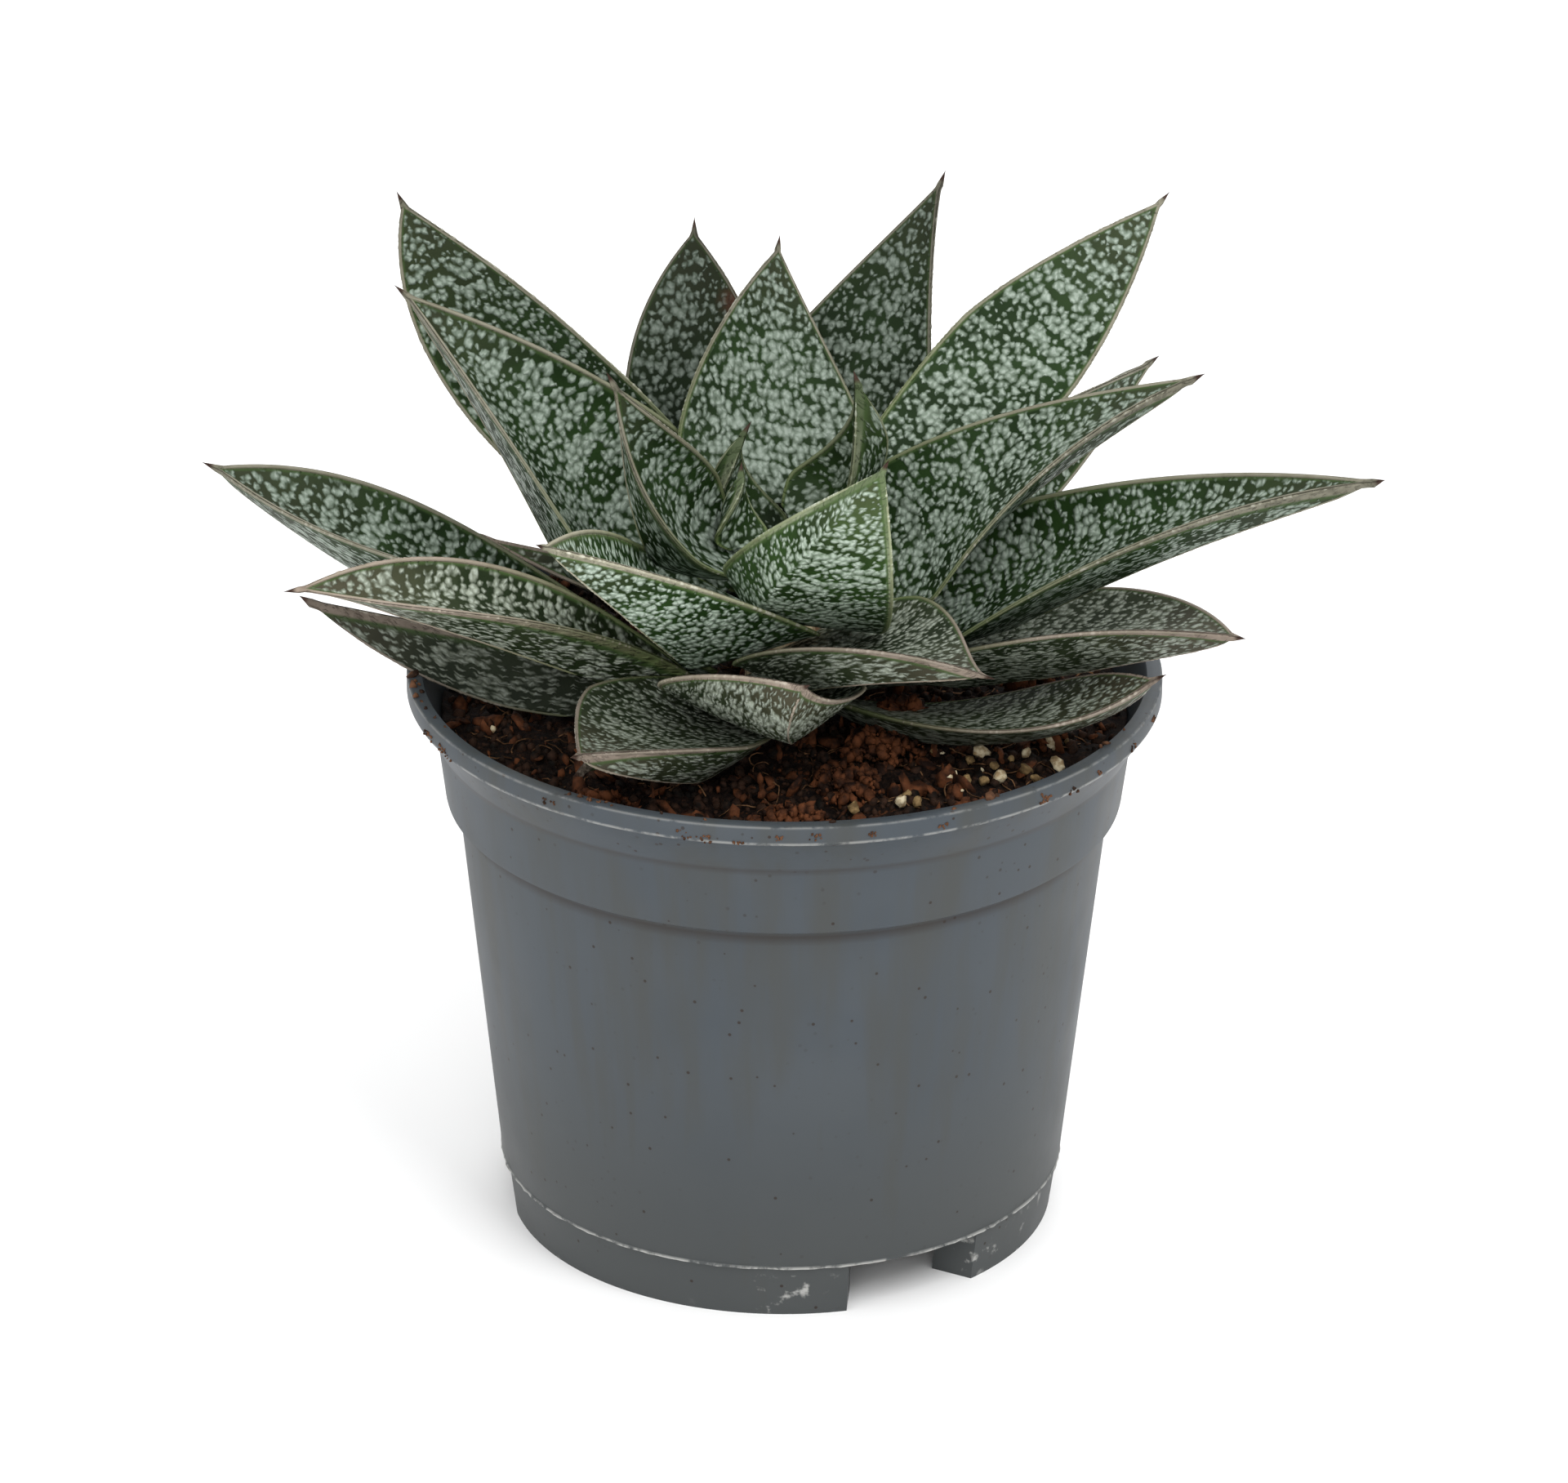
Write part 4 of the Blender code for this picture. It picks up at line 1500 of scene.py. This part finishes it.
@dataclass
class Stem:
    """Short pale stem, green at its growing point; its solid keeps its shape."""

    pale: Colour = (0.42, 0.36, 0.22, 1.0)
    brown: Colour = (0.16, 0.09, 0.045, 1.0)
    green: Colour = (0.075, 0.11, 0.045, 1.0)
    green_from: float = 104.0
    green_to: float = 111.0

    def dress(self, frame: dict) -> bpy.types.Object:
        """Give the stem's node its finish.


        Returns:
            The node's object.
        """
        made, graph = new_material("stem fibrous")
        place = graph.place()
        streak = graph.noise(graph.vector("MULTIPLY", place, (1, 1, 0.15)), 700.0, 4.0)
        bark = graph.mix(graph.ramp(streak, 0.4, 0.65), self.pale, self.brown)
        height = graph.add("SeparateXYZ", {0: place}).outputs["Z"]
        young = graph.ramp(height, self.green_from * MM, self.green_to * MM)
        graph.shade({
            "Base Color": graph.mix(young, bark, self.green),
            "Roughness": 0.7,
            "Normal": graph.bump(streak, 0.5, 0.2),
        })
        stem = frame["nodes"]["stem"]
        stem.data.materials.clear()
        stem.data.materials.append(made)
        return stem


@dataclass
class Studio:
    """White floor, pale sky and soft lamps, with the photograph's viewpoint.

    Each lamp has its name, its place and its side in metres, and its power in watts.
    """

    rise: float = 618.5
    back: float = 1169.1
    pitch: float = 24.74
    roll: float = 0.45
    lens: float = 185.3
    sensor: float = 36.0
    floor_size: float = 8.0
    sky: float = 0.9
    aim: Triple = (0, 0, 0.1)
    lamps: tuple[tuple[str, Triple, float, float], ...] = (
        ("key", (0.75, -0.9, 1.5), 0.9, 16.0),
        ("fill", (-1.1, -0.8, 0.9), 1.2, 5.0),
        ("back", (0.2, 1.2, 1.3), 1.0, 7.0),
        ("front", (-0.15, -1.65, 0.85), 1.0, 8.0),
    )

    def build(self) -> None:
        """Place the camera, floor, sky and lamps."""
        scene = bpy.context.scene
        scene.view_settings.view_transform = "Standard"
        self.camera(scene)
        self.floor()
        self.surroundings(scene)
        for lamp in self.lamps:
            self.lamp(*lamp)

    def camera(self, scene: bpy.types.Scene) -> None:
        """Place the camera.

        Args:
            scene: The scene that uses it.
        """
        data = bpy.data.cameras.new("photo view")
        data.lens, data.sensor_width = self.lens, self.sensor
        data.clip_start, data.clip_end = 0.05, 20
        view = bpy.data.objects.new("photo view", data)
        view.location = (0, -self.back * MM, self.rise * MM)
        tilt = Matrix.Rotation(math.radians(90 - self.pitch), 4, "X")
        spin = Matrix.Rotation(math.radians(self.roll), 4, "Z")
        view.rotation_euler = (tilt @ spin).to_euler()
        scene.collection.objects.link(view)
        scene.camera = view

    def floor(self) -> None:
        """White floor below the pot."""
        bm = bmesh.new()
        bmesh.ops.create_grid(bm, x_segments=1, y_segments=1, size=self.floor_size / 2)
        made, graph = new_material("floor white")
        white = (0.95, 0.95, 0.95, 1)
        graph.shade({"Base Color": white, "Roughness": 0.9, "Specular IOR Level": 0.1})
        finish_piece("studio_floor", bm, made)

    def surroundings(self, scene: bpy.types.Scene) -> None:
        """Even pale sky.

        Args:
            scene: The scene that uses it.
        """
        world = bpy.data.worlds.new("studio sky")
        world.use_nodes = True
        sky = world.node_tree.nodes["Background"]
        sky.inputs["Color"].default_value = (1.0, 1.0, 1.0, 1.0)
        sky.inputs["Strength"].default_value = self.sky
        scene.world = world

    def lamp(self, name: str, at: Triple, size: float, power: float) -> None:
        """Add a square soft lamp that faces the plant.

        Args:
            name: Its name.
            at: Its place in metres.
            size: Its side in metres.
            power: Its power in watts.
        """
        data = bpy.data.lights.new(name, "AREA")
        data.size, data.energy = size, power
        made = bpy.data.objects.new(name, data)
        made.location = at
        facing = Vector(self.aim) - Vector(at)
        made.rotation_euler = facing.to_track_quat("-Z", "Y").to_euler()
        bpy.context.scene.collection.objects.link(made)


SKINS = {
    Age.YOUNG: LeafSkin(
        "leaf skin young", (0.018, 0.041, 0.009, 1.0), (0.008, 0.02, 0.004, 1.0),
        (0.255, 0.31, 0.25, 1.0), (0.19, 0.215, 0.14, 1.0), (0.065, 0.078, 0.036, 1.0),
        dot_size=1.15, tip_margin=0.3,
    ),
    Age.MATURE: LeafSkin(
        "leaf skin mature", (0.013, 0.032, 0.007, 1.0), (0.006, 0.017, 0.003, 1.0),
        (0.24, 0.292, 0.24, 1.0), (0.195, 0.185, 0.14, 1.0), (0.055, 0.055, 0.034, 1.0),
    ),
    Age.OLD: LeafSkin(
        "leaf skin old", (0.024, 0.034, 0.015, 1.0), (0.01, 0.017, 0.006, 1.0),
        (0.235, 0.26, 0.21, 1.0), (0.22, 0.18, 0.145, 1.0), (0.085, 0.065, 0.048, 1.0),
        dot_size=1.2,
    ),
}

HORNS = {
    Age.YOUNG: HornFinish("leaf horn young", (0.18, 0.205, 0.12, 1.0), (0.32, 0.345, 0.27, 1.0)),
    Age.MATURE: HornFinish("leaf horn mature", (0.2, 0.19, 0.14, 1.0), (0.3, 0.295, 0.24, 1.0)),
    Age.OLD: HornFinish("leaf horn old", (0.21, 0.175, 0.14, 1.0), (0.31, 0.275, 0.225, 1.0)),
}

# Leaves whose finish differs from the rest of their age; a tone below 1 is painted shade and above 1
# painted light
LOOKS = {
    "leaf_heart_small": LeafLook(streak=0.3),
    "leaf_heart_large": LeafLook(tone=0.75, streak=0.3),
    "leaf_inner_right": LeafLook(tone=0.8, streak=0.5),
    "leaf_inner_left": LeafLook(tone=0.9, streak=0.5),
    "leaf_inner_front_right": LeafLook(cover=0.06, tone=1.5, streak=0.15, keel=False),
    "leaf_inner_front_left": LeafLook(cover=0.05, tone=1.75, streak=0.25),
    "leaf_back_centre": LeafLook(cover=0.09, tone=0.9),
    "leaf_left_upper": LeafLook(cover=0.04),
    "leaf_back_left_inner": LeafLook(tone=0.55, scar=(54.0, 0.95, 3.8)),
    "leaf_back_right_tall": LeafLook(tone=0.58),
    "leaf_right_tall": LeafLook(tone=1.1),
    "leaf_right_long": LeafLook(cover=0.02),
    "leaf_left_low": LeafLook(cover=0.05, tone=1.4),
    "leaf_left_bottom": LeafLook(tone=0.55, streak=1.0),
    "leaf_front_centre": LeafLook(cover=0.1, tone=1.3, streak=1.0),
    "leaf_front_left": LeafLook(tone=0.9, streak=1.0),
    "leaf_front_right": LeafLook(streak=1.0),
}

# Loose bits: material's name, its dark and light tone and the scale of its mottling
LOOSE_TONES = {
    "soil_crumbs": ("soil crumb", (0.004, 0.003, 0.002), (0.035, 0.016, 0.009), 500.0),
    "soil_coir_chips": ("coir chip", (0.011, 0.004, 0.002), (0.12, 0.04, 0.015), 330.0),
    "soil_coir_fibres": ("coir fibre", (0.06, 0.028, 0.012), (0.2, 0.105, 0.05), 500.0),
    "soil_perlite": ("perlite", (0.3, 0.21, 0.11), (0.66, 0.58, 0.4), 900.0),
    "soil_grit": ("grit", (0.11, 0.07, 0.03), (0.3, 0.2, 0.09), 700.0),
    "soil_stray_bits": ("stray soil", (0.02, 0.01, 0.006), (0.12, 0.055, 0.028), 500.0),
}

# Loose coir piled on the soil: place in plan, height of its top, half widths and bits
HEAPS = (
    (-36.5, 40.5, 98.5, 5.5, 3.6, 220),
    (18.5, -10.0, 91.6, 6.5, 5.0, 320),
    (15.5, -19.0, 90.6, 6.5, 6.0, 320),
    (10.0, -32.0, 89.2, 5.5, 7.0, 240),
    (1.0, -45.0, 88.8, 6.5, 4.5, 200),
    (-29.0, -42.0, 89.6, 7.0, 4.5, 260),
    (29.5, -41.0, 88.8, 3.5, 1.8, 50),
)

# Perlite grains in the open soil: place in plan and half size
PERLITE = (
    (30.9, -20.9, 1.4), (33.6, -29.3, 1.2), (26.1, -29.4, 1.3), (38.0, -20.3, 1.0),
    (42.3, -16.0, 1.3), (42.9, -24.9, 1.4), (18.2, -39.9, 1.1), (27.7, -39.0, 0.7),
    (26.2, -40.5, 0.4), (36.7, -15.3, 0.4), (32.6, -15.1, 0.4), (31.0, -25.1, 0.4),
    (24.9, -18.4, 0.4), (27.7, -34.0, 0.3), (-28.0, 38.0, 0.8), (12.0, 45.0, 1.0),
    (33.0, 30.0, 0.9), (-46.0, -12.0, 0.7), (38.0, 34.0, 0.6),
)

# Tan grains of grit in the open soil: place in plan and half size
GRIT = (
    (37.8, -26.1, 1.2), (20.7, -39.5, 1.0), (19.2, -34.7, 0.8), (10.9, -40.4, 1.1),
    (29.1, -22.0, 0.9), (32.9, -23.9, 0.8), (35.6, -22.2, 0.7), (31.1, -30.5, 0.9),
    (28.4, -31.4, 1.0), (39.2, -29.7, 0.8), (23.5, -17.9, 0.6), (44.8, -13.5, 0.8),
    (-38.0, 30.0, 0.9), (20.0, 44.0, 0.8), (46.0, 18.0, 0.8),
)

# Bits of soil on the rim: place in plan and half size
STRAY = (
    (-30.0, -50.4, 0.6), (-28.4, -51.4, 0.45), (-31.4, -49.4, 0.5), (-11.9, -57.4, 0.5),
    (32.6, -48.0, 0.6), (-58.5, -2.6, 0.9), (-58.3, -7.1, 0.6), (-58.6, 0.4, 0.5),
    (20.0, 54.8, 0.6), (50.0, 30.6, 0.5), (-32.9, -48.8, 0.5), (-31.2, -49.5, 0.7),
    (-29.6, -50.1, 0.5), (-29.6, -50.9, 0.6), (-28.2, -51.3, 0.45), (-27.2, -51.5, 0.5),
    (-26.3, -52.7, 0.4), (-31.3, -49.5, 0.4), (-18.6, -55.1, 0.6), (31.6, -48.8, 1.2),
    (7.5, -58.0, 0.7), (50.1, -28.4, 0.8), (49.2, -29.7, 0.5), (53.1, -23.2, 0.4),
    (-57.1, -11.0, 0.8), (-57.0, -14.8, 0.5), (-54.7, -20.8, 0.5), (-52.9, -24.3, 0.4),
    (-56.2, -17.5, 0.5), (26.1, -52.8, 0.5), (-57.7, -8.3, 0.6), (-58.9, -5.0, 1.3),
    (-58.7, -9.0, 1.1), (-58.0, -12.8, 1.0),
)

# Dirt on the lip's outer face: angle, height and spread
SMEARS = (
    (-104.0, 90.8, 1.0), (-101.5, 90.4, 0.7), (-127.0, 91.2, 0.7), (-66.0, 91.0, 0.5),
    (-48.0, 90.8, 0.6), (-158.0, 91.0, 0.5), (-15.0, 91.2, 0.5), (75.0, 91.0, 0.8),
    (-96.6, 90.4, 0.5), (-90.7, 91.2, 0.4), (-85.4, 91.3, 0.6), (-76.9, 91.3, 0.4),
    (-47.2, 91.4, 0.9), (-41.5, 90.4, 0.8), (-151.4, 90.7, 1.2), (-157.9, 90.7, 1.2),
    (-153.4, 90.9, 1.0), (-24.6, 90.9, 0.6), (-35.0, 90.9, 0.5),
)

YOUNG, MATURE, OLD = Age

# The leaves, from the heart outwards, with their values in the order of the fields:
# azimuth, base height and radius, lift, curl, sweep, length, half width, roll, twist,
# channel, thickness, keel side, tip power and widest place
LEAVES = tuple(LeafForm(f"leaf_{name}", *values) for name, *values in (
    ("heart_small", YOUNG, -133, 116.5, 10, 85, 57, 57, 12, 5, 117, -25, 0.1, 4, -0.1, 1.5, 0.2),
    ("heart_large", YOUNG, 154, 111, 5, 59, 51, 43, 21, 7, 61, -50, 0.1, 4.5, -0.5, 1.3, 0.2),
    ("inner_right", YOUNG, -13, 118.5, 0.5, 40, 53, -7, 27, 6, -69, 58, 0.5, 6.5, 0, 1.6, 0.2),
    ("inner_left", MATURE, -138, 113, 7, 45, 19, -36, 42, 8.5, 32, 62, 0.45, 7, -0.5, 1.2, 0.3),
    ("inner_front_right", YOUNG, -83, 108.5, 12.5, 29, 27, 21, 63, 13.5, 20, 34, 0.1, 5.5, 0.5, 1.7, 0.2),
    ("inner_front_left", MATURE, -118, 105, 6.5, 37, -17, -8, 71, 16.5, 11, 1, 0.65, 3.5, -0.1, 1.5, 0.2),
    ("back_centre", MATURE, 96, 117.5, 8.5, 45, -5, -10, 45, 16.5, -10, -28, 0.1, 5.5, 0, 1.5, 0.2),
    ("back_left_inner", MATURE, 119, 104, 8, 19, 39, -35, 67, 12.5, 42, -25, 0.15, 6, 0.3, 2.4, 0.5),
    ("back_left_tall", MATURE, 132, 108, 8.5, 8, 60, 51, 85, 12.5, 69, 26, 0.2, 6.5, 0.2, 2.4, 0.45),
    ("back_right_tall", MATURE, 76, 112, 12.5, 40, 18, -40, 61, 16, -17, 11, 0.1, 6, 0.1, 1.2, 0.3),
    ("left_upper", MATURE, 177, 104.5, 10, 55, -24, -15, 70, 16, 31, 2, 0.65, 7, -0.5, 1.2, 0.25),
    ("right_tall", MATURE, 32, 114.5, 10.5, 34, -10, 19, 79, 10.5, -42, 1, 0.1, 5.5, 0, 1.5, 0.5),
    ("right_upper", MATURE, -13, 104, 8, 57, -39, 11, 71, 13.5, -55, 49, 0.25, 6.5, 0.3, 1.2, 0.25),
    ("right_behind", MATURE, 30, 102.5, 7.5, 18, -2, 24, 75, 9, -74, -19, 0.15, 6, -0.1, 1.5, 0.5),
    ("rear_centre", MATURE, 99, 90.5, 7, 13, 40, 4, 59, 4.5, 37, -43, 0.55, 5.5, 0.2, 1.7, 0.4),
    ("rear_left", MATURE, 132, 94, 6.5, 8, 22, -4, 68, 5.5, 29, 61, 0.2, 6.5, -0.3, 2.3, 0.45),
    ("rear_right", MATURE, 51, 100, 6, 13, 12, 9, 55, 5, -33, 38, 0.2, 7, 0.1, 2.1, 0.25),
    ("left_long", MATURE, 173, 91, 11.5, 29, -15, 1, 85.5, 12.5, -34, 52, 0.5, 6, 0.1, 2.1, 0.5),
    ("right_long", MATURE, -14, 98, 8.5, 38, -23, -22, 101, 12, -40, 24, 0.45, 7, 0.3, 1.3, 0.2),
    ("left_low", OLD, -154, 91, 12.5, 47, -50, -10, 76, 5.5, -9, 64, 0.6, 7, -0.3, 2.4, 0.5),
    ("front_right", OLD, -76, 102, 10, 35, -40, 35, 56, 16.5, -21, 45, 0.25, 4, 0.5, 2.1, 0.3),
    ("right_low", OLD, -12, 92, 10.5, 35, -34, -31, 72, 15.5, 4, 1, 0.25, 6, 0.1, 1.6, 0.5),
    ("rear_right_low", OLD, 44, 92, 7, 3, 13, 12, 61, 6.5, 29, -17, 0.2, 5, 0, 1.5, 0.45),
    ("rear_left_low", OLD, 159, 101, 6, 3, -3, -22, 52, 3.5, 43, 2, 0.25, 5, 0.1, 1.3, 0.3),
    ("front_centre", OLD, -102, 97.5, 10.5, 16, 9, 37, 51, 16, -24, 55, 0.3, 4.5, -0.3, 1.4, 0.5),
    ("left_bottom", OLD, -173, 89.5, 12.5, 11, -2, -29, 65, 4.5, -57, -3, 0.65, 6.5, 0.2, 1.7, 0.45),
    ("front_left", OLD, -116, 93, 12.5, 18, -12, -5, 55, 14.5, 12, -10, 0.15, 6.5, -0.5, 1.4, 0.5),
    ("right_bottom", OLD, -38, 90.5, 7, 3, 23, 20, 61, 10.5, 27, -43, 0.1, 4.5, 0.1, 2.4, 0.5),
    ("front_left_old", OLD, -142, 89.5, 7, 7, 0, 40, 51, 3, -46, -17, 0.3, 4.5, 0, 1.9, 0.4),
))


def main() -> None:
    """Build the plant, its pot and the studio."""
    logging.basicConfig(level=logging.INFO, format="%(message)s")
    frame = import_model()
    Studio().build()
    LOG.info("studio: camera, floor, sky and lamps")
    LOG.info("%s", Pot().build().name)
    for piece in Soil(HEAPS, PERLITE, GRIT, STRAY, SMEARS).build():
        LOG.info("%s", piece.name)
    LOG.info("%s", Stem().dress(frame).name)
    for piece in Rosette(LEAVES, SKINS, HORNS, LOOKS).build():
        LOG.info("%s", piece.name)
    bpy.context.view_layer.update()


if __name__ == "__main__":
    main()
